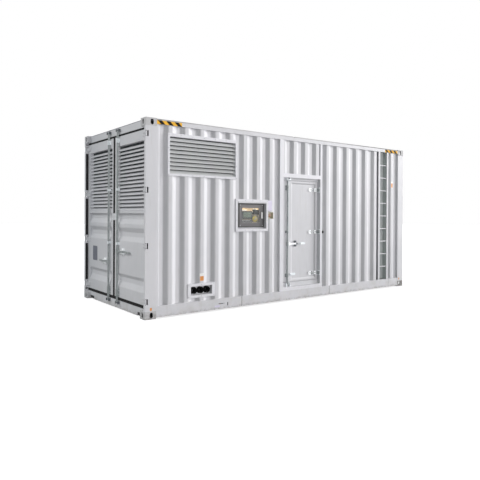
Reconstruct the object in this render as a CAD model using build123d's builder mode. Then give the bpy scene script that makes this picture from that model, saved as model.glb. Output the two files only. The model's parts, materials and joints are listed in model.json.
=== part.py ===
from build123d import *
from math import ceil, floor
import os

# Diesel generator set in a soundproof walk-in enclosure of high cube container size.
# Origin at the middle of the base. +X runs along the length, away from the double doors,
# -Y is the side with the personnel door, the control recess and the ladder. +Z is up.

# Envelope and stations
length = 6058.0
width = 2438.0
height = 2896.0
end_x = length / 2
side_y = width / 2

# Corner fittings
fitting_length = 178.0
fitting_width = 162.0
fitting_height = 118.0
fitting_wall = 16.0
fitting_seat = 28.0
aperture_length = 124.5
aperture_width = 63.5
aperture_inset_x = 102.5
aperture_inset_y = 89.5
hand_hole_height = 79.5
hand_hole_width = 51.0

# Posts
post_wall = 8.0
door_post_face = 47.0
door_post_land = 107.0
door_post_land_depth = 56.0
front_post_width = 100.0
front_post_wall = 6.0

# Side rails and the end beams
bottom_rail_base = 20.0
bottom_rail_height = 162.0
bottom_rail_flange = 60.0
bottom_rail_wall = 6.0
rail_doubler = 2.0
rail_doubler_length = 182.0
front_doubler_length = 264.0
front_doubler_inset = 31.0
rail_seam_insets = (1731.0, 3793.0)
seam_width = 4.0
seam_depth = 2.0
rail_slot_inset = 1450.0
rail_slot_rise = 39.0
rail_slot_height = 57.0
rail_slot_width = 18.0
top_rail_size = 60.0
top_rail_wall = 4.0
top_rail_drop = 84.0
rail_setback = 3.0
beam_depth = 70.0
beam_wall = 6.0
beam_inset = 8.0
sill_top = 150.0
header_drop = 136.0
sill_notch_width = 52.0
sill_notch_top = 62.0

# Folded wall sheet
sheet = 3.0
fold_pitch = 278.0
fold_slope = 68.0
fold_crest = 72.0
fold_depth = 36.0
fold_inset = 307.0
crest_setback = 14.0

# Floor and roof
floor_sheet = 6.0
floor_level = 172.0
cross_member_width = 50.0
cross_member_height = 122.0
cross_member_wall = 5.0
cross_member_pitch = 475.0
cross_member_inset = 238.5
roof_fold_pitch = 278.0
roof_fold_depth = 14.0
roof_edge_width = 34.0
roof_joint_x = -150.0
roof_joint_gap = 40.0
roof_end_gap = 2.0

# Acoustic lining
lining_thickness = 60.0
lining_joint = 12.0

# Bays of the near side, one after the other from the door end, and the ladder from the front
louvre_bay_inset = 359.0
louvre_bay_width = 1263.0
control_bay_width = 657.0
door_bay_gap = 266.0
door_bay_width = 1039.0
ladder_inset = 499.0
ladder_width = 324.0

# Side louvre
louvre_drop = 108.0
louvre_height = 626.0
louvre_border = 32.0
louvre_sill = 48.0
louvre_depth = 62.0
slat_pitch = 60.0
slat_sheet = 3.0
slat_lip = 12.0
slat_reach = 42.0
slat_overlap = 6.0
side_slat_setback = 16.0

# Cable outlet
outlet_inset = 351.0
outlet_width = 488.0
outlet_base = 240.0
outlet_top = 455.0
outlet_side_border = 52.0
outlet_end_border = 40.0
outlet_depth = 72.0
outlet_wall = 5.0
sleeve_count = 3
sleeve_outer = 53.0
sleeve_bore = 43.0
sleeve_pitch = 117.0
sleeve_length = 70.0
sleeve_flange = 56.5
sleeve_flange_sheet = 10.0
sleeve_seat = 0.3

# Control recess
recess_base = 1234.0
recess_top = 1762.0
recess_border = 42.0
recess_side_border = 37.0
recess_depth = 175.0
recess_wall = 4.0
cover_setback = 60.0
cover_thickness = 20.0
cover_side_gap = 9.0
cover_hinge_gap = 15.0
cover_pin_inset = 5.0
cover_pin = 2.5
cover_knuckle = 4.5
cover_knuckle_height = 40.0
cover_ear = 6.0
cover_ear_gap = 0.5
cover_ear_half = 4.0
cover_hinge_inset = 70.0
cover_end_gap = 24.0
cover_seat_gap = 2.0
cover_seat = 14.0
cover_corner = 8.0
window_left = 92.0
window_right = 96.0
window_end = 74.0
window_sheet = 4.0
cover_handle_width = 36.0
cover_handle_height = 121.0
cover_handle_inset = 45.0
cover_handle_proud = 14.0
controller_width = 190.0
controller_height = 110.0
controller_depth = 40.0
controller_offset_x = 60.0
controller_plate = 3.0
controller_plate_inset = 20.0

# Emergency stop
stop_inset = 67.0
stop_z = 1496.0
stop_box = 112.0
stop_box_depth = 78.0
stop_box_wall = 4.0
stop_box_setback = 8.0
stop_collar = 14.0
stop_gap = 5.0
stop_head_height = 14.0
stop_head_taper = 12.0
stop_head = 22.0
stop_stem = 9.0
stop_travel = 6.0

# Personnel door
door_opening_inset = 84.0
door_opening_width = 907.0
door_opening_base = 245.0
door_opening_top = 2163.0
door_header_height = 69.0
frame_depth = 131.0
leaf_setback = 67.0
leaf_thickness = 50.0
leaf_base_gap = 78.0
leaf_top_gap = 50.0
leaf_gap = 6.0
leaf_lock_gap = 14.0
leaf_hinge_gap = 14.0
stop_lip = 24.0
stop_lip_sheet = 8.0
gasket = 5.6
gasket_gap = 0.4
step_lap = 3.0
panel_lock_margin = 245.0
panel_hinge_margin = 63.0
panel_margin = 34.0
panel_sink = 12.0
panel_taper = 60.0
side_hinge_drop = 145.0
side_hinge_middle = 875.0
side_hinge_rise = 125.0
side_pin_setback = 16.0
side_pin_shift = 2.0
side_pin = 6.0
side_barrel = 10.0
side_hinge_height = 60.0
strap_sheet = 8.0
strap_length = 259.0
strap_bend = 20.0
strap_round = 34.0
strap_rib = 5.0
strap_rib_height = 12.0
bracket_gap = 1.0
bracket_sheet = 8.0
bracket_depth = 44.0

# End doors
leaf_face_setback = 52.0
end_leaf_depth = 60.0
centre_gap = 40.0
end_leaf_inset = 59.0
end_leaf_base = 185.0
end_leaf_drop = 156.0
centre_stile = 70.0
hinge_stile = 88.0
end_leaf_bottom_rail = 65.0
mid_rail_base = 1520.0
mid_rail_height = 45.0
end_leaf_head = 155.0
end_slat_setback = 8.0
end_gasket_reach = 13.0
hinge_drops = (75.0, 882.0)
hinge_rises = (870.0, 70.0)
pin_inset = 15.0
hinge_pin = 8.0
hinge_barrel = 13.0
hinge_height = 70.0
hinge_plate = 10.0
notch_height = 84.0
notch_depth = 46.0
blade_reach = 150.0
blade_bend = 6.0
seal_setback = 14.0
seal_width = 30.0
seal_reach = 6.5
swage_rises = (175.0, 265.0, 335.0, 385.0, 905.0, 975.0, 1045.0, 1115.0, 1175.0, 1245.0)

# Lock bars
bar_radius = 17.0
bar_standoff = 24.0
end_bar_y = 175.0
end_bar_low = 95.0
end_bar_drop = 51.0
running_clearance = 0.6
cam_length = 24.0
cam_nose = 14.0
cam_height = 18.0
lug_sheet = 12.0
lug_clearance = 8.0
lug_height = 44.0
handle_sheet = 12.0
handle_height = 28.0
hub_radius = 24.0
hub_height = 62.0
guide_radius = 23.0
guide_width = 74.0
guide_foot = 5.0
side_bar_inset = 135.0
side_bar_foot = 45.0
side_bar_head = 27.0
side_handle_rise = 674.0
side_handle_length = 419.0
side_guide_drop = 130.0
side_guide_middle = 889.0
side_guide_rise = 123.0
side_guide_heights = (90.0, 40.0, 60.0)
side_catch_offset = 170.0
side_catch_length = 55.0
side_latch_offset = 73.0
side_latch_length = 125.0
side_latch_rise = 112.0
side_latch_height = 40.0
latch_depth = 14.0
catch_clearance = 6.0
catch_reach = 36.0
catch_sheet = 8.0
catch_arm_length = 120.0
catch_arm_width = 24.0
catch_arm_turn = 58.0
catch_arm_depth = 12.0
wedge_length = 62.0
wedge_thickness = 20.0
end_guide_drops = ((100.0, 30.0), (860.0, 820.0))
end_guide_rises = ((835.0, 875.0), (20.0, 135.0))
end_catch_offset = 125.0
end_handles = {
    "right_end_door": {"rise": 732.0, "catch": 120.0, "length": 465.0},
    "left_end_door": {"rise": 539.0, "catch": 100.0, "length": 385.0},
}
lug_reach = 42.0
lug_lap = 4.0
bridge_sheet = 8.0
bridge_gap = 8.0
bridge_reach = 70.0
bridge_height = 110.0

# Ladder
ladder_flange = 53.0
ladder_depth = 100.0
ladder_sheet = 4.0
rung_base = 448.0
rung_pitch = 261.0
rung_head_gap = 100.0
rung_radius = 11.0
rung_setback = 25.0

# Door stop on the wall
bumper_clearance = 20.0
bumper_shift = 3.0
bumper_z = 1194.0
bumper_radius = 13.0

# Stations that several pieces share
fitting_x = end_x - fitting_length
fitting_y = side_y - fitting_width
top_fitting_base = height - fitting_height
rail_y = side_y - rail_setback
bottom_rail_top = bottom_rail_base + bottom_rail_height
top_rail_base = height - top_rail_drop
top_rail_top = top_rail_base + top_rail_size
header_base = height - header_drop
fold_start = -end_x + fold_inset
louvre_bay_start = -end_x + louvre_bay_inset
control_bay_start = louvre_bay_start + louvre_bay_width
control_bay_end = control_bay_start + control_bay_width
door_bay_start = control_bay_end + door_bay_gap
door_bay_end = door_bay_start + door_bay_width
ladder_end = end_x - ladder_inset
ladder_start = ladder_end - ladder_width
louvre_top = top_rail_base - louvre_drop
louvre_base = louvre_top - louvre_height
outlet_start = louvre_bay_start + outlet_inset
outlet_end = outlet_start + outlet_width
stop_x = control_bay_end + stop_inset
door_opening_start = door_bay_start + door_opening_inset
door_opening_end = door_opening_start + door_opening_width
leaf_base = door_opening_base + leaf_base_gap
leaf_top = door_opening_top - leaf_top_gap
end_leaf_reach = side_y - end_leaf_inset
end_leaf_top = height - end_leaf_drop
hinge_levels = (
    *(end_leaf_top - drop for drop in hinge_drops),
    *(end_leaf_base + rise for rise in hinge_rises),
)
crest_y = side_y - crest_setback
valley_y = crest_y - fold_depth
lining_y = valley_y - sheet
leaf_face_x = -end_x + leaf_face_setback
pin_x = -end_x + pin_inset
pin_y = side_y - pin_inset
end_bar_x = leaf_face_x - bar_standoff
side_leaf_y = -(side_y - leaf_setback)
side_bar_y = side_leaf_y - bar_standoff
side_pin_x = door_opening_end - leaf_hinge_gap + side_pin_shift
side_pin_y = -(side_y - side_pin_setback)

os.makedirs("parts", exist_ok=True)


def finish(piece, label):
    """Name a finished piece and write its file"""
    piece.part.label = label
    export_step(piece.part, f"parts/{label}.step")


def block(x_span, y_span, z_span, mode=Mode.ADD):
    """Box between two stations along each axis"""
    spans = (x_span, y_span, z_span)
    with Locations(tuple((low + high) / 2 for low, high in spans)):
        Box(*(abs(high - low) for low, high in spans), mode=mode)


def pane(x_span, y_span, mode=Mode.ADD):
    """Rectangle of a sketch between two stations along each of its axes"""
    with Locations(((x_span[0] + x_span[1]) / 2, (y_span[0] + y_span[1]) / 2)):
        Rectangle(abs(x_span[1] - x_span[0]), abs(y_span[1] - y_span[0]), mode=mode)


def clipped(points, start, stop):
    """The part of a broken line between two stations"""

    def height_at(station):
        for (low, low_height), (high, high_height) in zip(points, points[1:]):
            if low <= station <= high:
                share = (station - low) / (high - low)
                return low_height + share * (high_height - low_height)

    inside = [point for point in points if start < point[0] < stop]
    return [(start, height_at(start)), *inside, (stop, height_at(stop))]


def folds(start, stop, phase, pitch, slope, crest, depth):
    """Broken line of evenly spaced trapezoidal folds between two stations"""
    points = []
    for turn in range(floor((start - phase) / pitch), ceil((stop - phase) / pitch) + 1):
        foot = phase + turn * pitch
        points.append((foot, 0))
        points.append((foot + slope, depth))
        points.append((foot + slope + crest, depth))
        points.append((foot + 2 * slope + crest, 0))
    return clipped(points, start, stop)


def strip(outer, shift):
    """Face between a broken line and the same line moved by the thickness of the sheet"""
    inner = [(x + shift[0], y + shift[1]) for x, y in reversed(outer)]
    with BuildLine() as outline:
        Polyline(*outer, *inner, close=True)
    make_face(outline.line)


def wall_sheet(side, x_span, z_span):
    """Folded sheet of a long side between two stations and two levels"""
    line = folds(*x_span, fold_start, fold_pitch, fold_slope, fold_crest, fold_depth)
    with BuildSketch(Plane.XY.offset(z_span[0])) as profile:
        strip([(x, side * (valley_y + rise)) for x, rise in line], (0, -side * sheet))
    extrude(profile.sketch, amount=z_span[1] - z_span[0])


# Corner fittings: hollow castings with an aperture below or above, at the side and the end
def corner_fittings(base, seat_base):
    hollow_base = base + (fitting_seat if seat_base == base else fitting_wall)
    hollow = fitting_height - fitting_seat - fitting_wall
    low = (Align.CENTER, Align.CENTER, Align.MIN)
    middle = base + fitting_height / 2
    aperture_x = end_x - aperture_inset_x
    aperture_y = side_y - aperture_inset_y
    with BuildPart() as fittings:
        with Locations((0, 0, base)):
            with GridLocations(length - fitting_length, width - fitting_width, 2, 2):
                Box(fitting_length, fitting_width, fitting_height, align=low)
        with Locations((0, 0, hollow_base)):
            with GridLocations(length - fitting_length, width - fitting_width, 2, 2):
                Box(
                    fitting_length - 2 * fitting_wall,
                    fitting_width - 2 * fitting_wall,
                    hollow,
                    align=low,
                    mode=Mode.SUBTRACT,
                )
        with BuildSketch(Plane.XY.offset(seat_base)):
            with GridLocations(2 * aperture_x, 2 * aperture_y, 2, 2):
                SlotOverall(aperture_length, aperture_width)
        extrude(amount=fitting_seat, mode=Mode.SUBTRACT)
        for side in (-1, 1):
            with BuildSketch(Plane.XZ.offset(-side * side_y)):
                with Locations((-aperture_x, middle), (aperture_x, middle)):
                    SlotOverall(hand_hole_height, hand_hole_width, rotation=90)
            extrude(amount=side * fitting_wall, mode=Mode.SUBTRACT)
            with BuildSketch(Plane.YZ.offset(side * end_x)):
                with Locations((-aperture_y, middle), (aperture_y, middle)):
                    SlotOverall(hand_hole_height, hand_hole_width, rotation=90)
            extrude(amount=-side * fitting_wall, mode=Mode.SUBTRACT)
    return fittings


finish(corner_fittings(0, 0), "bottom_corner_fittings")
finish(corner_fittings(top_fitting_base, height - fitting_seat), "top_corner_fittings")

# Door end posts: hollow sections with a pocket and a pin at each hinge, open to the end and
# the side
pocket_x = (-end_x, -end_x + notch_depth + post_wall)
with BuildPart() as door_end_posts:
    with BuildSketch(Plane.XY.offset(fitting_height)):
        with BuildLine():
            Polyline(
                (-end_x, side_y),
                (-fitting_x, side_y),
                (-fitting_x, side_y - door_post_land),
                (-fitting_x - door_post_land_depth, side_y - door_post_land),
                (-fitting_x - door_post_land_depth, side_y - door_post_face),
                (-end_x, side_y - door_post_face),
                close=True,
            )
        make_face()
        offset(amount=-post_wall, mode=Mode.SUBTRACT)
    extrude(amount=top_fitting_base - fitting_height)
    for level in hinge_levels:
        outer = notch_height / 2 + post_wall
        block(pocket_x, (side_y - door_post_face, side_y), (level - outer, level + outer))
    for level in hinge_levels:
        block(
            (-end_x, -end_x + notch_depth),
            (side_y - door_post_face, side_y),
            (level - notch_height / 2, level + notch_height / 2),
            mode=Mode.SUBTRACT,
        )
        with BuildSketch(Plane.XY.offset(level - notch_height / 2)):
            with Locations((pin_x, pin_y)):
                Circle(hinge_pin)
        extrude(amount=notch_height)
    mirror(about=Plane.XZ)
finish(door_end_posts, "door_end_posts")

# Front posts
with BuildPart() as front_posts:
    with BuildSketch(Plane.XY.offset(fitting_height)):
        for side in (-1, 1):
            post = (side * (side_y - front_post_width), side * side_y)
            pane((fitting_x, end_x), post)
        for side in (-1, 1):
            pane(
                (fitting_x + front_post_wall, end_x - front_post_wall),
                (
                    side * (side_y - front_post_width + front_post_wall),
                    side * (side_y - front_post_wall),
                ),
                mode=Mode.SUBTRACT,
            )
    extrude(amount=top_fitting_base - fitting_height)
finish(front_posts, "front_posts")


# End beams: a tube between the fittings, with a lip that runs on to the posts
def end_beam(x_span, tube_z, lip_x, lip_z, lip_reach):
    with BuildSketch(Plane.XZ.offset(fitting_y)) as section:
        pane(x_span, tube_z)
        pane(
            (x_span[0] + beam_wall, x_span[1] - beam_wall),
            (tube_z[0] + beam_wall, tube_z[1] - beam_wall),
            mode=Mode.SUBTRACT,
        )
    extrude(section.sketch, amount=-2 * fitting_y)
    block(lip_x, (-lip_reach, lip_reach), lip_z)


door_beam_x = (leaf_face_x, leaf_face_x + beam_depth)
front_beam_x = (end_x - crest_setback - beam_depth, end_x - crest_setback)
bottom_beam_z = (beam_inset, fitting_height)
top_beam_z = (top_fitting_base, height - beam_inset)
door_lip_reach = side_y - door_post_face
front_lip_reach = side_y - front_post_width
top_door_beam_x = (leaf_face_x, -fitting_x)
top_front_beam_x = (fitting_x, front_beam_x[1])
sill_lip_z = (fitting_height, sill_top)
header_lip_z = (header_base, top_fitting_base)
with BuildPart() as end_sills:
    end_beam(door_beam_x, bottom_beam_z, door_beam_x, sill_lip_z, door_lip_reach)
    end_beam(front_beam_x, bottom_beam_z, front_beam_x, sill_lip_z, front_lip_reach)
    for side in (-1, 1):
        notch_y = (side * (fitting_y - sill_notch_width), side * fitting_y)
        block(door_beam_x, notch_y, (beam_inset, sill_notch_top), mode=Mode.SUBTRACT)
finish(end_sills, "end_sills")

with BuildPart() as end_headers:
    end_beam(top_door_beam_x, top_beam_z, door_beam_x, header_lip_z, door_lip_reach)
    end_beam(top_front_beam_x, top_beam_z, front_beam_x, header_lip_z, front_lip_reach)
finish(end_headers, "end_headers")

# Side rails
with BuildPart() as bottom_side_rails:
    with BuildSketch(Plane.YZ.offset(-fitting_x)):
        for side in (-1, 1):
            flange_y = side * (rail_y - bottom_rail_flange)
            pane((flange_y, side * rail_y), (bottom_rail_base, bottom_rail_top))
            pane(
                (flange_y, side * (rail_y - bottom_rail_wall)),
                (bottom_rail_base + bottom_rail_wall, bottom_rail_top - bottom_rail_wall),
                mode=Mode.SUBTRACT,
            )
    extrude(amount=2 * fitting_x)
    rail_z = (bottom_rail_base, bottom_rail_top)
    front_doubler_end = fitting_x - front_doubler_inset
    for side in (-1, 1):
        face = side * rail_y
        doubler_y = (face, face + side * rail_doubler)
        block((-fitting_x, -fitting_x + rail_doubler_length), doubler_y, rail_z)
        block((front_doubler_end - front_doubler_length, front_doubler_end), doubler_y, rail_z)
        for inset in rail_seam_insets:
            seam_x = (-end_x + inset - seam_width / 2, -end_x + inset + seam_width / 2)
            block(seam_x, (face - side * seam_depth, face), rail_z, mode=Mode.SUBTRACT)
    with BuildSketch(Plane.XZ.offset(rail_y)):
        slot_z = bottom_rail_base + rail_slot_rise + rail_slot_height / 2
        with Locations((-end_x + rail_slot_inset, slot_z)):
            SlotOverall(rail_slot_height, rail_slot_width, rotation=90)
    extrude(amount=-bottom_rail_wall, mode=Mode.SUBTRACT)
finish(bottom_side_rails, "bottom_side_rails")

with BuildPart() as top_side_rails:
    with BuildSketch(Plane.YZ.offset(-fitting_x)):
        for side in (-1, 1):
            with Locations((side * (rail_y - top_rail_size / 2), top_rail_base + top_rail_size / 2)):
                Rectangle(top_rail_size, top_rail_size)
                Rectangle(
                    top_rail_size - 2 * top_rail_wall,
                    top_rail_size - 2 * top_rail_wall,
                    mode=Mode.SUBTRACT,
                )
    extrude(amount=2 * fitting_x)
finish(top_side_rails, "top_side_rails")

# Floor: channels between the rails and a plate on them
rail_inner_y = rail_y - bottom_rail_wall
cross_member_base = floor_level - floor_sheet - cross_member_height
cross_member_span = 2 * (fitting_x - cross_member_inset)
cross_member_bays = round(cross_member_span / cross_member_pitch)
cross_member_row = (cross_member_span / cross_member_bays, 0, cross_member_bays + 1, 1)
with BuildPart() as cross_members:
    with BuildSketch(Plane.XZ.offset(rail_inner_y)):
        with Locations((0, cross_member_base + cross_member_height / 2)):
            with GridLocations(*cross_member_row):
                Rectangle(cross_member_width, cross_member_height)
        with Locations((cross_member_wall, cross_member_base + cross_member_height / 2)):
            with GridLocations(*cross_member_row):
                Rectangle(
                    cross_member_width,
                    cross_member_height - 2 * cross_member_wall,
                    mode=Mode.SUBTRACT,
                )
    extrude(amount=-2 * rail_inner_y)
finish(cross_members, "floor_cross_members")

floor_x = (leaf_face_x + beam_depth, front_beam_x[0])
floor_y = rail_y - bottom_rail_flange
floor_end_y = lining_y - lining_thickness
with BuildPart() as floor_plate:
    with BuildSketch(Plane.XY.offset(floor_level - floor_sheet)):
        pane((-fitting_x, fitting_x), (-floor_y, floor_y))
        pane(floor_x, (-floor_end_y, floor_end_y))
    extrude(amount=floor_sheet)
finish(floor_plate, "floor_plate")

# Roof: two folded panels with a flat raised edge, parted by a narrow gap
roof_y = rail_y - 2 * rail_setback
roof_top = top_rail_top + roof_fold_depth
with BuildPart() as roof_panels:
    for x_span in (
        (-fitting_x + roof_end_gap, roof_joint_x - roof_joint_gap / 2),
        (roof_joint_x + roof_joint_gap / 2, fitting_x - roof_end_gap),
    ):
        line = folds(*x_span, fold_start, roof_fold_pitch, fold_slope, fold_crest, roof_fold_depth)
        with BuildSketch(Plane.XZ.offset(roof_y)):
            strip([(x, top_rail_top + rise) for x, rise in line], (0, sheet))
        extrude(amount=-2 * roof_y)
        for side in (-1, 1):
            block(
                x_span,
                (side * (roof_y - roof_edge_width), side * roof_y),
                (top_rail_top, roof_top + sheet),
            )
finish(roof_panels, "roof_panels")

with BuildPart() as roof_joint_channel:
    block(
        (roof_joint_x - top_rail_size / 2, roof_joint_x + top_rail_size / 2),
        (-(rail_y - top_rail_size), rail_y - top_rail_size),
        (top_rail_base, top_rail_top),
    )
    block(
        (
            roof_joint_x - top_rail_size / 2 + top_rail_wall,
            roof_joint_x + top_rail_size / 2 - top_rail_wall,
        ),
        (-(rail_y - top_rail_size), rail_y - top_rail_size),
        (top_rail_base + top_rail_wall, top_rail_top - top_rail_wall),
        mode=Mode.SUBTRACT,
    )
finish(roof_joint_channel, "roof_joint_beam")

# Near wall: sheets between the frames that are set into it
wall_z = (bottom_rail_top, top_rail_base)
frame_header_top = door_opening_top + door_header_height
stop_half = stop_box / 2
with BuildPart() as near_wall_tall_sheets:
    for x_span in (
        (-fitting_x, louvre_bay_start),
        (control_bay_end, door_bay_start),
        (door_bay_end, ladder_start),
        (ladder_end, fitting_x),
    ):
        wall_sheet(-1, x_span, wall_z)
    block(
        (stop_x - stop_half, stop_x + stop_half),
        (-side_y, -lining_y),
        (stop_z - stop_half, stop_z + stop_half),
        mode=Mode.SUBTRACT,
    )
finish(near_wall_tall_sheets, "near_wall_tall_sheets")

louvre_bay = (louvre_bay_start, control_bay_start)
control_bay = (control_bay_start, control_bay_end)
with BuildPart() as near_wall_louvre_bay_sheets:
    wall_sheet(-1, (outlet_start, outlet_end), (wall_z[0], outlet_base))
    wall_sheet(-1, louvre_bay, (outlet_top, louvre_base))
    wall_sheet(-1, louvre_bay, (louvre_top, wall_z[1]))
finish(near_wall_louvre_bay_sheets, "near_wall_louvre_bay_sheets")

with BuildPart() as near_wall_outlet_sheets:
    wall_sheet(-1, (louvre_bay_start, outlet_start), (wall_z[0], outlet_top))
    wall_sheet(-1, (outlet_end, control_bay_start), (wall_z[0], outlet_top))
finish(near_wall_outlet_sheets, "near_wall_outlet_sheets")

with BuildPart() as near_wall_short_sheets:
    wall_sheet(-1, control_bay, (wall_z[0], recess_base))
    wall_sheet(-1, control_bay, (recess_top, wall_z[1]))
    wall_sheet(-1, (door_opening_start, door_opening_end), (frame_header_top, wall_z[1]))
finish(near_wall_short_sheets, "near_wall_short_sheets")

# Far wall: the same louvre, plain otherwise
with BuildPart() as far_wall_tall_sheets:
    wall_sheet(1, (-fitting_x, louvre_bay_start), wall_z)
    wall_sheet(1, (control_bay_start, fitting_x), wall_z)
finish(far_wall_tall_sheets, "far_wall_tall_sheets")

with BuildPart() as far_wall_louvre_bay_sheets:
    wall_sheet(1, louvre_bay, (wall_z[0], louvre_base))
    wall_sheet(1, louvre_bay, (louvre_top, wall_z[1]))
finish(far_wall_louvre_bay_sheets, "far_wall_louvre_bay_sheets")

# Front wall, folded the same way
front_crest_x = end_x - crest_setback - (beam_depth - fold_depth) / 2
with BuildPart() as front_wall:
    line = folds(
        -front_lip_reach,
        front_lip_reach,
        -fold_slope - fold_crest / 2,
        fold_pitch,
        fold_slope,
        fold_crest,
        fold_depth,
    )
    with BuildSketch(Plane.XY.offset(sill_top)):
        strip([(front_crest_x - fold_depth + rise, y) for y, rise in line], (-sheet, 0))
    extrude(amount=header_base - sill_top)
finish(front_wall, "front_wall_sheet")


# Louvre banks: a frame with slats that slope down and outwards, each over the next
def slat_rows(face, back, base, count):
    """Profiles of slats between an outer and an inner line, on a sketch whose second axis is up"""
    inward = slat_sheet if back > face else -slat_sheet
    for row in range(count):
        foot = base + row * slat_pitch
        knee = foot + slat_pitch + slat_overlap - slat_lip
        outer = [(face, foot), (face, foot + slat_lip), (back, knee), (back, knee + slat_lip)]
        strip(outer, (inward, 0))


def side_louvre(side):
    """Louvre bank of one long side"""
    window_x = (louvre_bay_start + louvre_border, control_bay_start - louvre_border)
    window_z = (louvre_base + louvre_border, louvre_top - louvre_sill)
    face = side_y - side_slat_setback
    count = floor((window_z[1] - window_z[0]) / slat_pitch)
    with BuildSketch(Plane.XZ.offset(-side * side_y)) as border:
        pane(louvre_bay, (louvre_base, louvre_top))
        pane(window_x, window_z, mode=Mode.SUBTRACT)
    extrude(border.sketch, amount=side * louvre_depth)
    with BuildSketch(Plane.YZ.offset(window_x[0])) as slats:
        slat_rows(side * face, side * (face - slat_reach), window_z[0], count)
    extrude(slats.sketch, amount=window_x[1] - window_x[0])


with BuildPart() as side_louvres:
    side_louvre(-1)
    side_louvre(1)
finish(side_louvres, "side_louvres")


# Cable outlet: a tray set into the wall, with three sleeves through its back
outlet_x = (outlet_start, outlet_end)
outlet_z = (outlet_base, outlet_top)
tray_x = (outlet_start + outlet_side_border, outlet_end - outlet_side_border)
tray_z = (outlet_base + outlet_end_border, outlet_top - outlet_end_border)
outlet_centre = ((outlet_start + outlet_end) / 2, (outlet_base + outlet_top) / 2)


def tray(x_span, z_span, mouth_x, mouth_z, depth, wall):
    """Box open to the near side, with a flat border round its mouth"""
    with BuildSketch(Plane.XZ.offset(side_y)) as border:
        pane(x_span, z_span)
        pane(mouth_x, mouth_z, mode=Mode.SUBTRACT)
    extrude(border.sketch, amount=-(side_y - lining_y))
    block(
        (mouth_x[0] - wall, mouth_x[1] + wall),
        (-(side_y - wall), -(side_y - depth)),
        (mouth_z[0] - wall, mouth_z[1] + wall),
    )
    block(mouth_x, (-side_y, -(side_y - depth + wall)), mouth_z, mode=Mode.SUBTRACT)


with BuildPart() as cable_outlet:
    tray(outlet_x, outlet_z, tray_x, tray_z, outlet_depth, outlet_wall)
    with BuildSketch(Plane.XZ.offset(side_y - outlet_depth)):
        with Locations(outlet_centre):
            with GridLocations(sleeve_pitch, 0, sleeve_count, 1):
                Circle(sleeve_outer + sleeve_seat)
    extrude(amount=outlet_wall, mode=Mode.SUBTRACT)
finish(cable_outlet, "cable_outlet_tray")

with BuildPart() as cable_sleeves:
    plate_face = side_y - outlet_depth + outlet_wall
    with BuildSketch(Plane.XZ.offset(plate_face + sleeve_flange_sheet)):
        with Locations(outlet_centre):
            with GridLocations(sleeve_pitch, 0, sleeve_count, 1):
                Circle(sleeve_flange)
    extrude(amount=-sleeve_flange_sheet)
    with BuildSketch(Plane.XZ.offset(plate_face)):
        with Locations(outlet_centre):
            with GridLocations(sleeve_pitch, 0, sleeve_count, 1):
                Circle(sleeve_outer)
    extrude(amount=-sleeve_length)
    with BuildSketch(Plane.XZ.offset(plate_face + sleeve_flange_sheet)):
        with Locations(outlet_centre):
            with GridLocations(sleeve_pitch, 0, sleeve_count, 1):
                Circle(sleeve_bore)
    extrude(amount=-(sleeve_length + sleeve_flange_sheet), mode=Mode.SUBTRACT)
finish(cable_sleeves, "cable_sleeves")

# Control recess: a deeper tray with a seat for the cover and a cabinet behind it
recess_z = (recess_base, recess_top)
mouth_x = (control_bay_start + recess_side_border, control_bay_end - recess_side_border)
mouth_z = (recess_base + recess_border, recess_top - recess_border)
cover_x = (mouth_x[0] + cover_hinge_gap, mouth_x[1] - cover_side_gap)
cover_z = (mouth_z[0] + cover_end_gap, mouth_z[1] - cover_end_gap)
cover_y = -(side_y - cover_setback)
seat_y = cover_y + cover_thickness + cover_seat_gap
cover_pivot = (cover_x[0] - cover_pin_inset, cover_y + cover_knuckle)
cover_hinge_levels = (cover_z[0] + cover_hinge_inset, cover_z[1] - cover_hinge_inset)
cabinet_back = -(side_y - recess_depth + recess_wall)
with BuildPart() as control_recess:
    tray(control_bay, recess_z, mouth_x, mouth_z, recess_depth, recess_wall)
    with BuildSketch(Plane.XZ.offset(-seat_y)):
        pane(mouth_x, mouth_z)
        pane(
            (cover_x[0] + cover_seat, cover_x[1] - cover_seat),
            (cover_z[0] + cover_seat, cover_z[1] - cover_seat),
            mode=Mode.SUBTRACT,
        )
    extrude(amount=-recess_wall)
    for level in cover_hinge_levels:
        ear_base = cover_knuckle_height / 2 + cover_ear_gap
        for way in (-1, 1):
            with BuildSketch(Plane.XY.offset(level + way * ear_base)):
                pane(
                    (mouth_x[0], cover_pivot[0] + cover_pin),
                    (cover_pivot[1] - cover_ear_half, cover_pivot[1] + cover_ear_half),
                )
            extrude(amount=way * cover_ear)
        with BuildSketch(Plane.XY.offset(level - ear_base)):
            with Locations(cover_pivot):
                Circle(cover_pin)
        extrude(amount=2 * ear_base)
finish(control_recess, "control_recess")

window_x = (cover_x[0] + window_left, cover_x[1] - window_right)
window_z = (cover_z[0] + window_end, cover_z[1] - window_end)
handle_x = cover_x[1] - cover_handle_inset
handle_z = (cover_z[0] + cover_z[1]) / 2
with BuildPart() as control_cover:
    with BuildSketch(Plane.XZ.offset(-cover_y)):
        with Locations(((cover_x[0] + cover_x[1]) / 2, handle_z)):
            RectangleRounded(cover_x[1] - cover_x[0], cover_z[1] - cover_z[0], cover_corner)
        pane(window_x, window_z, mode=Mode.SUBTRACT)
    extrude(amount=-cover_thickness)
    with BuildSketch(Plane.XZ.offset(-cover_y)):
        with Locations((handle_x, handle_z)):
            SlotOverall(cover_handle_height, cover_handle_width, rotation=90)
    extrude(amount=cover_handle_proud)
    for level in cover_hinge_levels:
        with BuildSketch(Plane.XY.offset(level - cover_knuckle_height / 2)):
            with Locations(cover_pivot):
                Circle(cover_knuckle)
            pane((cover_pivot[0], cover_x[0]), (cover_y, cover_pivot[1]))
            with Locations(cover_pivot):
                Circle(cover_pin + running_clearance, mode=Mode.SUBTRACT)
        extrude(amount=cover_knuckle_height)
finish(control_cover, "control_cover")

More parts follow.
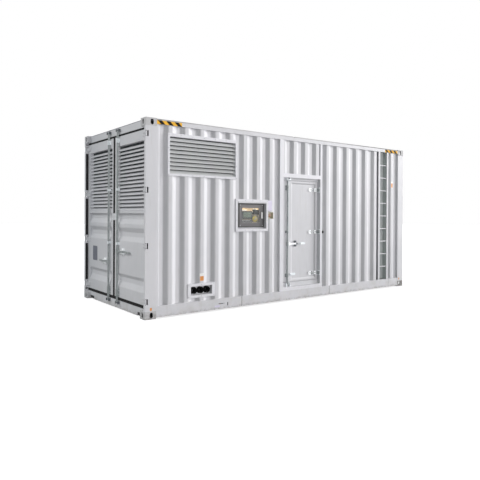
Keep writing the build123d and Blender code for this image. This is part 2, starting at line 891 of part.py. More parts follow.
with BuildPart() as control_window:
    window_y = cover_y + (cover_thickness - window_sheet) / 2
    block(window_x, (window_y, window_y + window_sheet), window_z)
finish(control_window, "control_window")

controller_x = (window_x[0] + window_x[1]) / 2 + controller_offset_x
controller_z = (window_z[0] + window_z[1]) / 2
with BuildPart() as controller:
    block(
        (cover_x[0] + controller_plate_inset, cover_x[1] - controller_plate_inset),
        (cabinet_back - controller_plate, cabinet_back),
        (cover_z[0] + controller_plate_inset, cover_z[1] - controller_plate_inset),
    )
    with BuildSketch(Plane.XZ.offset(-cabinet_back + controller_plate)):
        with Locations((controller_x, controller_z)):
            RectangleRounded(controller_width, controller_height, cover_corner)
    extrude(amount=controller_depth)
    with BuildSketch(Plane.XZ.offset(-cabinet_back + controller_plate)):
        with Locations((controller_x + controller_width, controller_z - controller_height / 2)):
            Circle(stop_head)
    extrude(amount=controller_depth)
finish(controller, "controller")

# Emergency stop: a mushroom button in a tray beside the recess
stop_back = -(side_y - stop_box_depth)
with BuildPart() as stop_tray:
    with BuildSketch(Plane.XZ.offset(-stop_back)):
        with Locations((stop_x, stop_z)):
            Rectangle(stop_box, stop_box)
    extrude(amount=stop_box_depth - stop_box_setback)
    with BuildSketch(Plane.XZ.offset(-stop_back + stop_box_wall)):
        with Locations((stop_x, stop_z)):
            Rectangle(stop_box - 2 * stop_box_wall, stop_box - 2 * stop_box_wall)
    extrude(amount=stop_box_depth, mode=Mode.SUBTRACT)
    with BuildSketch(Plane.XZ.offset(-stop_back + stop_box_wall)):
        with Locations((stop_x, stop_z)):
            Circle(stop_head)
            Circle(stop_stem + running_clearance, mode=Mode.SUBTRACT)
    extrude(amount=stop_collar)
finish(stop_tray, "emergency_stop_tray")

with BuildPart() as stop_button:
    collar_face = -stop_back + stop_box_wall + stop_collar
    with BuildSketch(Plane.XZ.offset(collar_face + stop_travel + stop_gap)):
        with Locations((stop_x, stop_z)):
            Circle(stop_head)
    extrude(amount=stop_head_height, taper=stop_head_taper)
    with BuildSketch(Plane.XZ.offset(collar_face + stop_travel + stop_gap)):
        with Locations((stop_x, stop_z)):
            Circle(stop_stem)
    extrude(amount=-(stop_collar + stop_gap))
finish(stop_button, "emergency_stop_button")

# Personnel door frame: posts from rail to rail, a stepped opening and a stop behind the leaf
opening_x = (door_opening_start, door_opening_end)
leaf_x = (door_opening_start + leaf_lock_gap, door_opening_end - leaf_hinge_gap)
leaf_z = (leaf_base, leaf_top)
leaf_back_y = side_leaf_y + leaf_thickness
with BuildPart() as side_door_frame:
    with BuildSketch(Plane.XZ.offset(side_y)):
        pane((door_bay_start, door_bay_end), wall_z)
        pane(opening_x, (frame_header_top, wall_z[1]), mode=Mode.SUBTRACT)
        pane(opening_x, (door_opening_base, door_opening_top), mode=Mode.SUBTRACT)
    extrude(amount=-frame_depth)
    with BuildSketch(Plane.XZ.offset(-side_leaf_y + step_lap)):
        pane(opening_x, (door_opening_base, door_opening_top))
        pane(opening_x, (leaf_base - leaf_gap, leaf_top + leaf_gap), mode=Mode.SUBTRACT)
    extrude(amount=-(frame_depth - leaf_setback + step_lap))
    with BuildSketch(Plane.XZ.offset(-(leaf_back_y + gasket))):
        pane(opening_x, (leaf_base - leaf_gap, leaf_top + leaf_gap))
        pane(
            (leaf_x[0] + stop_lip, leaf_x[1] - stop_lip),
            (leaf_base + stop_lip, leaf_top - stop_lip),
            mode=Mode.SUBTRACT,
        )
    extrude(amount=-stop_lip_sheet)
finish(side_door_frame, "side_door_frame")

with BuildPart() as side_door_gasket:
    with BuildSketch(Plane.XZ.offset(-(leaf_back_y + gasket_gap))):
        pane(leaf_x, leaf_z)
        pane(
            (leaf_x[0] + stop_lip, leaf_x[1] - stop_lip),
            (leaf_base + stop_lip, leaf_top - stop_lip),
            mode=Mode.SUBTRACT,
        )
    extrude(amount=-(gasket - gasket_gap))
finish(side_door_gasket, "side_door_gasket")

# Personnel door leaf: a thick insulated leaf with a sunk panel
with BuildPart() as side_door_leaf:
    block(leaf_x, (side_leaf_y, leaf_back_y), leaf_z)
    with BuildSketch(Plane.XZ.offset(-side_leaf_y)):
        pane(
            (door_opening_start + panel_lock_margin, door_opening_end - panel_hinge_margin),
            (leaf_base + panel_margin, leaf_top - panel_margin),
        )
    extrude(amount=-panel_sink, taper=panel_taper, mode=Mode.SUBTRACT)
finish(side_door_leaf, "side_door_leaf")


def arm(points, thickness):
    """Bent flat bar seen along its height"""
    with BuildLine() as path:
        Polyline(*points)
    trace(path.edges(), line_width=thickness)


# Lock bars: a round bar with a cam at each end and a flat handle on a hub
def lock_bar(centre, span, cams, cam_way, handle_z, handle_tip):
    """Bar at a centre in plan. Cams point along cam_way, the handle along it to its tip."""
    with BuildPart() as bar:
        with BuildSketch(Plane.XY.offset(span[0])):
            with Locations(centre):
                Circle(bar_radius)
        extrude(amount=span[1] - span[0])
        for cam_base in cams:
            with BuildSketch(Plane.XY.offset(cam_base)):
                with Locations(centre):
                    Circle(bar_radius)
                nose = (centre[0] + cam_way[0] * cam_length, centre[1] + cam_way[1] * cam_length)
                with Locations(nose):
                    Circle(cam_nose)
                make_hull()
            extrude(amount=cam_height)
        with BuildSketch(Plane.XY.offset(handle_z - hub_height / 2)):
            with Locations(centre):
                Circle(hub_radius)
        extrude(amount=hub_height)
        with BuildSketch(Plane.XY.offset(handle_z - handle_height / 2)):
            arm([centre, handle_tip], handle_sheet)
        extrude(amount=handle_height)
        ahead = (handle_tip[0] - centre[0], handle_tip[1] - centre[1], 0)
        root = Plane(origin=(*centre, handle_z), x_dir=ahead, z_dir=(-ahead[1], ahead[0], 0))
        with BuildSketch(root):
            with BuildLine():
                Polyline(
                    (0, -hub_height / 2),
                    (hub_radius, -hub_height / 2),
                    (hub_radius + wedge_length, -handle_height / 2),
                    (hub_radius + wedge_length, handle_height / 2),
                    (hub_radius, hub_height / 2),
                    (0, hub_height / 2),
                    close=True,
                )
            make_face()
        extrude(amount=wedge_thickness / 2, both=True)
    return bar


def catch_arms(centre):
    """Crossed arms of a handle catch, on a sketch that is parallel to the door"""
    with Locations(centre):
        SlotOverall(catch_arm_length, catch_arm_width, rotation=catch_arm_turn)
        SlotOverall(catch_arm_length, catch_arm_width, rotation=-catch_arm_turn)


def guide(centre, face, z_span, along_x):
    """Saddle that holds a lock bar to a face, seen along the bar"""
    foot = guide_foot if face > centre[0 if not along_x else 1] else -guide_foot
    with BuildSketch(Plane.XY.offset(z_span[0])) as saddle:
        with Locations(centre):
            Circle(guide_radius)
        if along_x:
            pane((centre[0] - guide_width / 2, centre[0] + guide_width / 2), (face - foot, face))
            pane((centre[0] - guide_radius, centre[0] + guide_radius), (centre[1], face))
        else:
            pane((face - foot, face), (centre[1] - guide_width / 2, centre[1] + guide_width / 2))
            pane((centre[0], face), (centre[1] - guide_radius, centre[1] + guide_radius))
        with Locations(centre):
            Circle(bar_radius + running_clearance, mode=Mode.SUBTRACT)
    extrude(saddle.sketch, amount=z_span[1] - z_span[0])


side_bar_x = door_opening_start + side_bar_inset
side_bar = (side_bar_x, side_bar_y)
side_bar_low = door_opening_base + side_bar_foot
side_bar_high = door_opening_top - side_bar_head
side_handle_z = leaf_base + side_handle_rise
finish(
    lock_bar(
        side_bar,
        (side_bar_low, side_bar_high),
        (side_bar_low, side_bar_high - cam_height),
        (1, 0),
        side_handle_z,
        (side_bar_x + side_handle_length, side_bar_y),
    ),
    "side_lock_bar",
)

# On the leaf: bent straps that turn on pins the jamb brackets hold, guides and a catch
strap_y = side_leaf_y - strap_sheet / 2
strap_root = side_pin_x - strap_bend
strap_centre = side_pin_x - strap_length + strap_round
side_hinge_levels = (
    leaf_top - side_hinge_drop,
    leaf_base + side_hinge_middle,
    leaf_base + side_hinge_rise,
)
side_guide_levels = (
    leaf_top - side_guide_drop,
    leaf_base + side_guide_middle,
    leaf_base + side_guide_rise,
)
side_catch_start = side_bar_x + side_catch_offset
side_catch_x = (side_catch_start, side_catch_start + side_catch_length)
side_latch_x = (side_bar_x + side_latch_offset, side_bar_x + side_latch_offset + side_latch_length)
side_latch_z = (leaf_base + side_latch_rise, leaf_base + side_latch_rise + side_latch_height)
with BuildPart() as side_door_hardware:
    for level in side_hinge_levels:
        with BuildSketch(Plane.XY.offset(level - side_hinge_height / 2)):
            with Locations((side_pin_x, side_pin_y)):
                Circle(side_barrel)
            arm(
                [(side_pin_x, side_pin_y), (strap_root, strap_y), (strap_root - strap_bend, strap_y)],
                strap_sheet,
            )
            with Locations((side_pin_x, side_pin_y)):
                Circle(side_pin + running_clearance, mode=Mode.SUBTRACT)
        extrude(amount=side_hinge_height)
        with BuildSketch(Plane.XZ.offset(-side_leaf_y)):
            with Locations((strap_centre, level)):
                Circle(strap_round)
            with Locations((strap_root - strap_bend, level)):
                Rectangle(strap_sheet, side_hinge_height)
            make_hull()
        extrude(amount=strap_sheet)
        with BuildSketch(Plane.XZ.offset(-side_leaf_y + strap_sheet)):
            pane(
                (strap_centre, strap_root - strap_bend),
                (level - strap_rib_height / 2, level + strap_rib_height / 2),
            )
        extrude(amount=strap_rib)
        with BuildSketch(Plane.XZ.offset(-side_leaf_y)):
            with Locations((strap_centre, level)):
                Circle(strap_round - strap_sheet)
        extrude(amount=-panel_sink)
    for level, tall in zip(side_guide_levels, side_guide_heights):
        guide(side_bar, side_leaf_y, (level - tall / 2, level + tall / 2), True)
    for way in (-1, 1):
        ear = side_handle_z + way * (handle_height / 2 + catch_clearance)
        block(
            side_catch_x,
            (side_leaf_y - catch_reach, side_leaf_y + panel_sink),
            sorted((ear, ear + way * catch_sheet)),
        )
    with BuildSketch(Plane.XZ.offset(-(side_leaf_y + panel_sink))):
        catch_arms((sum(side_catch_x) / 2, side_handle_z))
    extrude(amount=catch_arm_depth + panel_sink)
    block(side_latch_x, (side_leaf_y - latch_depth, side_leaf_y), side_latch_z)
finish(side_door_hardware, "side_door_hardware")


def keeper(centre, cam_way, lug_y_or_x, z_span, along_x):
    """Pair of lugs with the cam between them, open to the front"""
    nose_side = cam_length + cam_nose + lug_clearance
    plain_side = bar_radius + lug_clearance
    for way, reach in ((cam_way, nose_side), (-cam_way, plain_side)):
        near = (centre[0] if along_x else centre[1]) + way * reach
        lug = sorted((near, near + way * lug_sheet))
        if along_x:
            block(lug, lug_y_or_x, z_span)
        else:
            block(lug_y_or_x, lug, z_span)


# Brackets with the hinge pins on the jamb, and keepers above and below the leaf
with BuildPart() as side_door_ironwork:
    for level in side_hinge_levels:
        for way in (-1, 1):
            with BuildSketch(Plane.XY.offset(level + way * (side_hinge_height / 2 + bracket_gap))):
                pane(
                    (side_pin_x - side_barrel, door_opening_end),
                    (side_pin_y - side_barrel, side_pin_y + bracket_depth),
                )
            extrude(amount=way * bracket_sheet)
        with BuildSketch(Plane.XY.offset(level - side_hinge_height / 2 - bracket_gap)):
            with Locations((side_pin_x, side_pin_y)):
                Circle(side_pin)
        extrude(amount=side_hinge_height + 2 * bracket_gap)
    lug_y = (side_bar_y - bar_radius, side_bar_y + bar_radius)
    low_z = (door_opening_base, side_bar_low + cam_height + lug_lap)
    high_z = (side_bar_high - cam_height - lug_lap, door_opening_top)
    keeper(side_bar, 1, lug_y, low_z, True)
    keeper(side_bar, 1, lug_y, high_z, True)
finish(side_door_ironwork, "side_door_brackets_and_keepers")


# End doors, one each side of the middle
end_bar_high = height - end_bar_drop


def end_door(side, name):
    near = side * centre_gap / 2
    far = side * end_leaf_reach
    inner_y = (near + side * centre_stile, far - side * hinge_stile)
    leaf_z = (end_leaf_base, end_leaf_top)
    frame_plane = Plane.YZ.offset(leaf_face_x)
    lower_z = (end_leaf_base + end_leaf_bottom_rail, mid_rail_base)
    upper_z = (mid_rail_base + mid_rail_height, end_leaf_top - end_leaf_head)

    with BuildPart() as leaf_frame:
        with BuildSketch(frame_plane):
            pane((near, far), leaf_z)
            pane(inner_y, lower_z, mode=Mode.SUBTRACT)
            pane(inner_y, upper_z, mode=Mode.SUBTRACT)
        extrude(amount=end_leaf_depth)
    finish(leaf_frame, f"{name}_frame")

    crest_turns = (0, 3)
    line = [(end_leaf_base, fold_depth)]
    for turn, rise in enumerate(swage_rises):
        line.append((end_leaf_base + rise, fold_depth if turn % 4 in crest_turns else 0))
    line = clipped([*line, (mid_rail_base, 0)], *lower_z)
    with BuildPart() as panel:
        with BuildSketch(Plane.XZ.offset(-inner_y[0])):
            strip([(leaf_face_x + fold_depth - rise, z) for z, rise in line], (sheet, 0))
        extrude(amount=inner_y[0] - inner_y[1])
    finish(panel, f"{name}_panel")

    face = leaf_face_x + end_slat_setback
    count = floor((upper_z[1] - upper_z[0]) / slat_pitch)
    with BuildPart() as louvre:
        with BuildSketch(Plane.XZ.offset(-inner_y[0])):
            slat_rows(face, face + slat_reach, upper_z[0], count)
        extrude(amount=inner_y[0] - inner_y[1])
        for edge, way in ((inner_y[0], side), (inner_y[1], -side)):
            block((face, leaf_face_x + end_leaf_depth), (edge, edge + way * sheet), upper_z)
        block(
            (leaf_face_x, leaf_face_x + end_leaf_depth),
            inner_y,
            (upper_z[1], upper_z[1] + slat_pitch),
            mode=Mode.SUBTRACT,
        )
    finish(louvre, f"{name}_louvre")

    with BuildPart() as seal:
        with BuildSketch(Plane.YZ.offset(leaf_face_x + seal_setback)):
            pane(
                (near - side * end_gasket_reach, far + side * seal_reach),
                (leaf_z[0] - seal_reach, leaf_z[1] + seal_reach),
            )
            pane((near, far), leaf_z, mode=Mode.SUBTRACT)
        extrude(amount=seal_width)
    finish(seal, f"{name}_gasket")

    pivot = (pin_x, side * pin_y)
    blade_x = leaf_face_x - hinge_plate / 2
    handle = end_handles[name]
    handle_z = end_leaf_base + handle["rise"]
    catch_start = end_bar_y + end_catch_offset
    catch_y = (catch_start, catch_start + handle["catch"])
    centre = (end_bar_x, side * end_bar_y)
    guide_spans = (
        *((end_leaf_top - low, end_leaf_top - high) for low, high in end_guide_drops),
        *((end_leaf_base + low, end_leaf_base + high) for low, high in end_guide_rises),
    )
    with BuildPart() as hardware:
        for level in hinge_levels:
            with BuildSketch(Plane.XY.offset(level - hinge_height / 2)):
                with Locations(pivot):
                    Circle(hinge_barrel)
                arm(
                    [
                        pivot,
                        (blade_x, far - side * blade_bend),
                        (blade_x, side * (pin_y - blade_reach)),
                    ],
                    hinge_plate,
                )
                with Locations(pivot):
                    Circle(hinge_pin + running_clearance, mode=Mode.SUBTRACT)
            extrude(amount=hinge_height)
        for z_span in guide_spans:
            guide(centre, leaf_face_x, z_span, False)
        for way in (-1, 1):
            ear = handle_z + way * (handle_height / 2 + catch_clearance)
            block(
                (leaf_face_x - catch_reach, leaf_face_x),
                sorted((side * catch_y[0], side * catch_y[1])),
                sorted((ear, ear + way * catch_sheet)),
            )
        with BuildSketch(Plane.YZ.offset(leaf_face_x)):
            catch_arms((side * sum(catch_y) / 2, handle_z))
        extrude(amount=-catch_arm_depth)
        block(
            (leaf_face_x - bridge_sheet, leaf_face_x),
            sorted((side * bridge_gap / 2, side * bridge_reach)),
            (mid_rail_base - bridge_height, mid_rail_base),
        )
    finish(hardware, f"{name}_hardware")

    finish(
        lock_bar(
            centre,
            (end_bar_low, end_bar_high),
            (end_bar_low, end_bar_high - cam_height),
            (0, side),
            handle_z,
            (end_bar_x, side * (end_bar_y + handle["length"])),
        ),
        f"{name}_lock_bar",
    )


end_door(-1, "right_end_door")
end_door(1, "left_end_door")

with BuildPart() as end_door_keepers:
    lug_x = (leaf_face_x - lug_reach, leaf_face_x)
    for side in (-1, 1):
        centre = (end_bar_x, side * end_bar_y)
        low_middle = end_bar_low + cam_height / 2
        high_middle = end_bar_high - cam_height / 2
        for middle in (low_middle, high_middle):
            lug_z = (middle - lug_height / 2, middle + lug_height / 2)
            keeper(centre, side, lug_x, lug_z, False)
finish(end_door_keepers, "end_door_keepers")

# Ladder recess: a channel with flanges, and round rungs between its sides
well_x = (ladder_start + ladder_flange, ladder_end - ladder_flange)
ladder_y = rail_y
rung_count = floor((top_rail_base - rung_head_gap - rung_base) / rung_pitch) + 1
with BuildPart() as ladder_recess:
    with BuildSketch(Plane.XY.offset(wall_z[0])):
        pane((ladder_start, ladder_end), (-ladder_y, -(ladder_y - ladder_depth)))
        pane(well_x, (-ladder_y, -(ladder_y - ladder_depth + ladder_sheet)), mode=Mode.SUBTRACT)
        for edge, way in ((ladder_start, 1), (ladder_end, -1)):
            pane(
                (edge, edge + way * (ladder_flange - ladder_sheet)),
                (-(ladder_y - ladder_sheet), -(ladder_y - ladder_depth)),
                mode=Mode.SUBTRACT,
            )
    extrude(amount=wall_z[1] - wall_z[0])
finish(ladder_recess, "ladder_recess")

with BuildPart() as ladder_rungs:
    with BuildSketch(Plane.YZ.offset(well_x[0])):
        for rung in range(rung_count):
            with Locations((-(ladder_y - rung_setback), rung_base + rung * rung_pitch)):
                Circle(rung_radius)
    extrude(amount=well_x[1] - well_x[0])
finish(ladder_rungs, "ladder_rungs")

# Rubber stop that the open personnel door meets, in the first valley of the sheet beside it
fold_span = 2 * fold_slope + fold_crest
first_valley = fold_start + (fold_span + fold_pitch) / 2
bumper_turn = ceil((door_bay_end + bumper_clearance - first_valley) / fold_pitch)
bumper_x = first_valley + bumper_turn * fold_pitch + bumper_shift
with BuildPart() as door_bumper:
    with BuildSketch(Plane.XZ.offset(valley_y)):
        with Locations((bumper_x, bumper_z)):
            Circle(bumper_radius)
    extrude(amount=side_y - valley_y)
finish(door_bumper, "side_door_bumper")


# Lining boards against the inside of the sheets
def board(side, x_span, z_span):
    inset = lining_joint / 2
    block(
        (x_span[0] + inset, x_span[1] - inset),
        (side * lining_y, side * (lining_y - lining_thickness)),
        (z_span[0] + inset, z_span[1] - inset),
    )


lining_z = wall_z
with BuildPart() as wall_lining:
    board(-1, (-fitting_x, louvre_bay_start), lining_z)
    board(-1, louvre_bay, (outlet_top, louvre_base))
    board(-1, control_bay, (lining_z[0], recess_base))
    board(-1, control_bay, (recess_top, lining_z[1]))
    board(-1, (stop_x + stop_half, door_bay_start), lining_z)
    board(-1, opening_x, (frame_header_top, lining_z[1]))
    board(-1, (door_bay_end, ladder_start), lining_z)
    board(-1, (ladder_end, fitting_x), lining_z)
    board(1, (-fitting_x, louvre_bay_start), lining_z)
    board(1, louvre_bay, (lining_z[0], louvre_base))
    board(1, (control_bay_start, door_bay_end), lining_z)
    board(1, (door_bay_end, fitting_x), lining_z)
    front_lining_x = front_crest_x - fold_depth - sheet
    block(
        (front_lining_x - lining_thickness, front_lining_x),
        (-(front_lip_reach - lining_joint), front_lip_reach - lining_joint),
        (floor_level + lining_joint, header_base - lining_joint),
    )
finish(wall_lining, "wall_lining")

ceiling_y = rail_y - top_rail_size - lining_joint
joint_half = top_rail_size / 2 + lining_joint
with BuildPart() as ceiling_lining:
    for x_span in (
        (-fitting_x + lining_joint, roof_joint_x - joint_half),
        (roof_joint_x + joint_half, fitting_x - lining_joint),
    ):
        block(x_span, (-ceiling_y, ceiling_y), (top_rail_base, top_rail_top))
finish(ceiling_lining, "ceiling_lining")
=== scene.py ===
import bpy
import bmesh
import json
import math
from mathutils import Matrix, Vector


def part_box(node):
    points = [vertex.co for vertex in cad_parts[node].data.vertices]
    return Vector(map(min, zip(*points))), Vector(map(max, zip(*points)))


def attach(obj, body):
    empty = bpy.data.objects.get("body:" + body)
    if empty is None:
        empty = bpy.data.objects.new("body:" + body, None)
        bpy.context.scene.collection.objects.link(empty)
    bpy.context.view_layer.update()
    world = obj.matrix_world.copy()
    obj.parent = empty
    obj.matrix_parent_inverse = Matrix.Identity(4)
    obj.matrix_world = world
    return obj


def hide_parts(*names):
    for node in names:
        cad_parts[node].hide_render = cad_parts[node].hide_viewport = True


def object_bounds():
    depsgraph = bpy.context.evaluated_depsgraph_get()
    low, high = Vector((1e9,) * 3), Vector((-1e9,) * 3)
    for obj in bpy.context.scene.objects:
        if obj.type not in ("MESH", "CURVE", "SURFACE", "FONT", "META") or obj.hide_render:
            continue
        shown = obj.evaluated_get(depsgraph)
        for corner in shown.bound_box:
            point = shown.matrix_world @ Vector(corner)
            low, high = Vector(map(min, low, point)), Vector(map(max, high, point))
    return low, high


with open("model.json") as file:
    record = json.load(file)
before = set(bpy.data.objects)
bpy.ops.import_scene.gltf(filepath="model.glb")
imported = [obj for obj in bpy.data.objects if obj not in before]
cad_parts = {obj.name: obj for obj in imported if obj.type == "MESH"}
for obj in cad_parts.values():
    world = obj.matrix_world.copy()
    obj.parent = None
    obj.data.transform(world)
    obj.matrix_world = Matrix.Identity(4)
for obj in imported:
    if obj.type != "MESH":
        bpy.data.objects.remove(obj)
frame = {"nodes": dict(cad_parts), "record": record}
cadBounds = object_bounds()
nodes = frame["nodes"]
record = frame["record"]
bodyOf = {node: body for body, held in record["behaviour"]["bodies"].items() for node in held}
slotOf = {part["node"]: part["material_slot"] for part in record["subparts"]}
print("frame loaded:", len(nodes), "nodes")


def spans(name):  # a node's spans in x, y and z
    return list(zip(*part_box(name)))


wallX, wallY, wallZ = spans("near_wall_tall_sheets")
frameX, recessX = spans("side_door_frame")[0], spans("ladder_recess")[0]
endFace, nearFace = cadBounds[1][0], cadBounds[1][1]  # reaches of the faces from the middle
crestFace, railFace = -wallY[0], spans("top_side_rails")[1][1]
doorFace, leafFace = -spans("right_end_door_frame")[0][0], -spans("side_door_leaf")[1][0]


def srgb(*levels):  # display levels from 0 to 255 as linear light
    shares = [level / 255 for level in levels]
    linear = [s / 12.92 if s <= 0.04045 else ((s + 0.055) / 1.055) ** 2.4 for s in shares]
    return (*linear, 1.0)


def linked(name, data):  # a new object in the scene
    made = bpy.data.objects.new(name, data)
    bpy.context.scene.collection.objects.link(made)
    return made


def plainMesh(holder):  # the evaluated mesh of an object, which is then removed
    graph = bpy.context.evaluated_depsgraph_get()
    made = bpy.data.meshes.new_from_object(holder.evaluated_get(graph))
    base = holder.data
    bpy.data.objects.remove(holder)
    bpy.data.meshes.remove(base)
    return made


# Node trees


class Socket:  # a node's output that can be used in an expression
    def __init__(self, wiring, link):
        self.wiring = wiring
        self.link = link

    def maths(self, operation, *values):
        numbers = dict(enumerate(values))
        return self.wiring.node("ShaderNodeMath", numbers, operation=operation)

    def __add__(self, other):
        return self.maths("ADD", self, other)

    def __sub__(self, other):
        return self.maths("SUBTRACT", self, other)

    def __mul__(self, other):
        return self.maths("MULTIPLY", self, other)

    def __truediv__(self, other):
        return self.maths("DIVIDE", self, other)

    def __rsub__(self, other):
        return self.maths("SUBTRACT", other, self)

    def __rtruediv__(self, other):
        return self.maths("DIVIDE", other, self)

    __radd__ = __add__
    __rmul__ = __mul__

    def fraction(self):
        return self.maths("FRACT", self)

    def offMiddle(self, pitch):  # distance from the middle of a repeat, as a share of it
        return self.maths("ABSOLUTE", (self / pitch).fraction() - 0.5)

    def above(self, low, high):  # 0 under low, 1 over high, smooth between
        values = {"Value": self, "From Min": low, "From Max": high}
        return self.wiring.node("ShaderNodeMapRange", values, interpolation_type="SMOOTHSTEP")


class Wiring:  # a node tree and the one method that adds its nodes
    def __init__(self, tree):
        self.tree = tree
        self.tree.nodes.clear()

    def node(self, kind, values=None, output=0, **settings):
        made = self.tree.nodes.new(kind)
        for key, value in settings.items():
            setattr(made, key, value)
        for key, value in (values or {}).items():
            for one in value if isinstance(value, list) else [value]:
                if isinstance(one, Socket):
                    self.tree.links.new(one.link, made.inputs[key])
                else:
                    made.inputs[key].default_value = one
        return Socket(self, made.outputs[output]) if len(made.outputs) else made


class Shade(Wiring):  # a material
    shaderInputs = {
        "colour": "Base Color", "roughness": "Roughness", "metallic": "Metallic",
        "normal": "Normal", "coat": "Coat Weight", "coatRoughness": "Coat Roughness",
        "alpha": "Alpha", "specular": "Specular IOR Level",
        "glow": "Emission Color", "glowStrength": "Emission Strength",
    }

    def __init__(self, name):
        self.material = bpy.data.materials.new(name)
        self.material.use_nodes = True
        super().__init__(self.material.node_tree)
        self.point = self.node("ShaderNodeTexCoord", output="Object")

    def axes(self):
        split = self.node("ShaderNodeSeparateXYZ", {0: self.point})
        return [Socket(self, split.link.node.outputs[axis]) for axis in "XYZ"]

    def stretched(self, *scale):
        return self.node("ShaderNodeMapping", {"Vector": self.point, "Scale": scale})

    def noise(self, size, detail=3.0, roughness=0.5, point=None):
        values = {"Vector": point or self.point, "Scale": 1 / size, "Detail": detail,
                  "Roughness": roughness}
        return self.node("ShaderNodeTexNoise", values)

    def blend(self, share, first, second):
        values = {0: share, 6: first, 7: second}
        return self.node("ShaderNodeMix", values, output=2, data_type="RGBA")

    def bump(self, height, distance, strength=1.0, normal=None):
        values = {"Height": height, "Distance": distance, "Strength": strength}
        if normal:
            values["Normal"] = normal
        return self.node("ShaderNodeBump", values)

    def close(self, surface):
        self.node("ShaderNodeOutputMaterial", {"Surface": surface})
        return self.material

    def finish(self, **values):
        inputs = {self.shaderInputs[key]: value for key, value in values.items()}
        return self.close(self.node("ShaderNodeBsdfPrincipled", inputs))


class Pattern(Wiring):  # a geometry tree with named inputs, which ends in mesh of one finish
    kinds = {float: "NodeSocketFloat", int: "NodeSocketInt"}

    def __init__(self, name, **inputs):
        super().__init__(bpy.data.node_groups.new(name, "GeometryNodeTree"))
        face = self.tree.interface
        face.new_socket("Geometry", in_out="OUTPUT", socket_type="NodeSocketGeometry")
        face.new_socket("Geometry", in_out="INPUT", socket_type="NodeSocketGeometry")
        face.new_socket("Finish", in_out="INPUT", socket_type="NodeSocketMaterial")
        for label, value in inputs.items():
            socket = face.new_socket(label, in_out="INPUT", socket_type=self.kinds[type(value)])
            socket.default_value = value
        self.entry = self.tree.nodes.new("NodeGroupInput")

    def given(self, label):
        return Socket(self, self.entry.outputs[label])

    def moved(self, shape, x=0.0, y=0.0, z=0.0, turn=(0.0, 0.0, 0.0)):
        offset = self.node("ShaderNodeCombineXYZ", {"X": x, "Y": y, "Z": z})
        values = {"Geometry": shape, "Translation": offset, "Rotation": turn}
        return self.node("GeometryNodeTransform", values)

    def joined(self, *shapes):
        return self.node("GeometryNodeJoinGeometry", {0: list(shapes)})

    def repeated(self, points, shape):
        return self.node("GeometryNodeInstanceOnPoints", {"Points": points, "Instance": shape})

    def row(self, count, x=0.0, y=0.0):
        step = self.node("ShaderNodeCombineXYZ", {"X": x, "Y": y})
        return self.node("GeometryNodeMeshLine", {"Count": count, "Offset": step})

    def cylinder(self, sides, radius, depth):
        values = {"Vertices": sides, "Radius": radius, "Depth": depth}
        return self.node("GeometryNodeMeshCylinder", values)

    def cone(self, sides, base, top, depth, rings=1):
        values = {"Vertices": sides, "Side Segments": rings, "Radius Bottom": base,
                  "Radius Top": top, "Depth": depth}
        return self.node("GeometryNodeMeshCone", values)

    def close(self, shape):
        shape = self.node("GeometryNodeRealizeInstances", {"Geometry": shape})
        values = {"Geometry": shape, "Material": self.given("Finish")}
        shape = self.node("GeometryNodeSetMaterial", values)
        self.node("NodeGroupOutput", {0: shape})
        return self

    def grow(self, points, edges, finish, **values):  # the pattern's mesh on some base points
        base = bpy.data.meshes.new("base")
        base.from_pydata(points, edges, [])
        holder = linked("holder", base)
        grower = holder.modifiers.new("grower", "NODES")
        grower.node_group = self.tree
        values["Finish"] = finish
        for item in self.tree.interface.items_tree:
            if item.in_out == "INPUT" and item.name in values:
                grower[item.identifier] = values[item.name]
        return plainMesh(holder)


# Finishes: colours are display levels, lengths are metres

paintLook = {
    "colour": (205, 205, 208), "shade": (197, 198, 201), "dust": (168, 163, 152),
    # the left end door's colour here and its share below are painted shade
    "stain": (96, 84, 70), "leftDoorShadeColour": (170, 173, 178), "frontTone": (138, 139, 138),
    "roughness": 0.47, "specular": 0.5, "peel": 0.0025, "buckle": 0.005, "clouds": 0.9,
    "runs": 0.035, "runStretch": 0.09, "specks": 0.012, "dustTop": 0.5, "footTop": 0.08,
    "leftDoorShade": 0.55, "grime": 0,
}
castingLook = {
    **paintLook, "colour": (186, 186, 187), "shade": (168, 168, 168), "stain": (78, 70, 60),
    "roughness": 0.52, "footTop": 0.12, "buckle": 0.0, "grime": 0.7,
}
roofLook = {
    **paintLook, "colour": (200, 200, 201), "shade": (188, 188, 187), "roughness": 0.72,
    "specular": 0.2,
}
# painted shade: a darker paint for the inside of the ladder well
wellShadeLook = {
    **paintLook, "colour": (174, 179, 178), "shade": (164, 169, 168), "roughness": 0.6,
    "specular": 0.3,
}
# painted shade: a darker paint for the side louvre slats
slatShadeLook = {**paintLook, "colour": (193, 195, 195), "shade": (185, 187, 187)}
# painted highlight: a paler paint for the flanges round the recesses, the cable outlet, the side
# door frame and the side louvres
flangeHighlightLook = {**paintLook, "colour": (221, 221, 225), "shade": (213, 213, 218)}


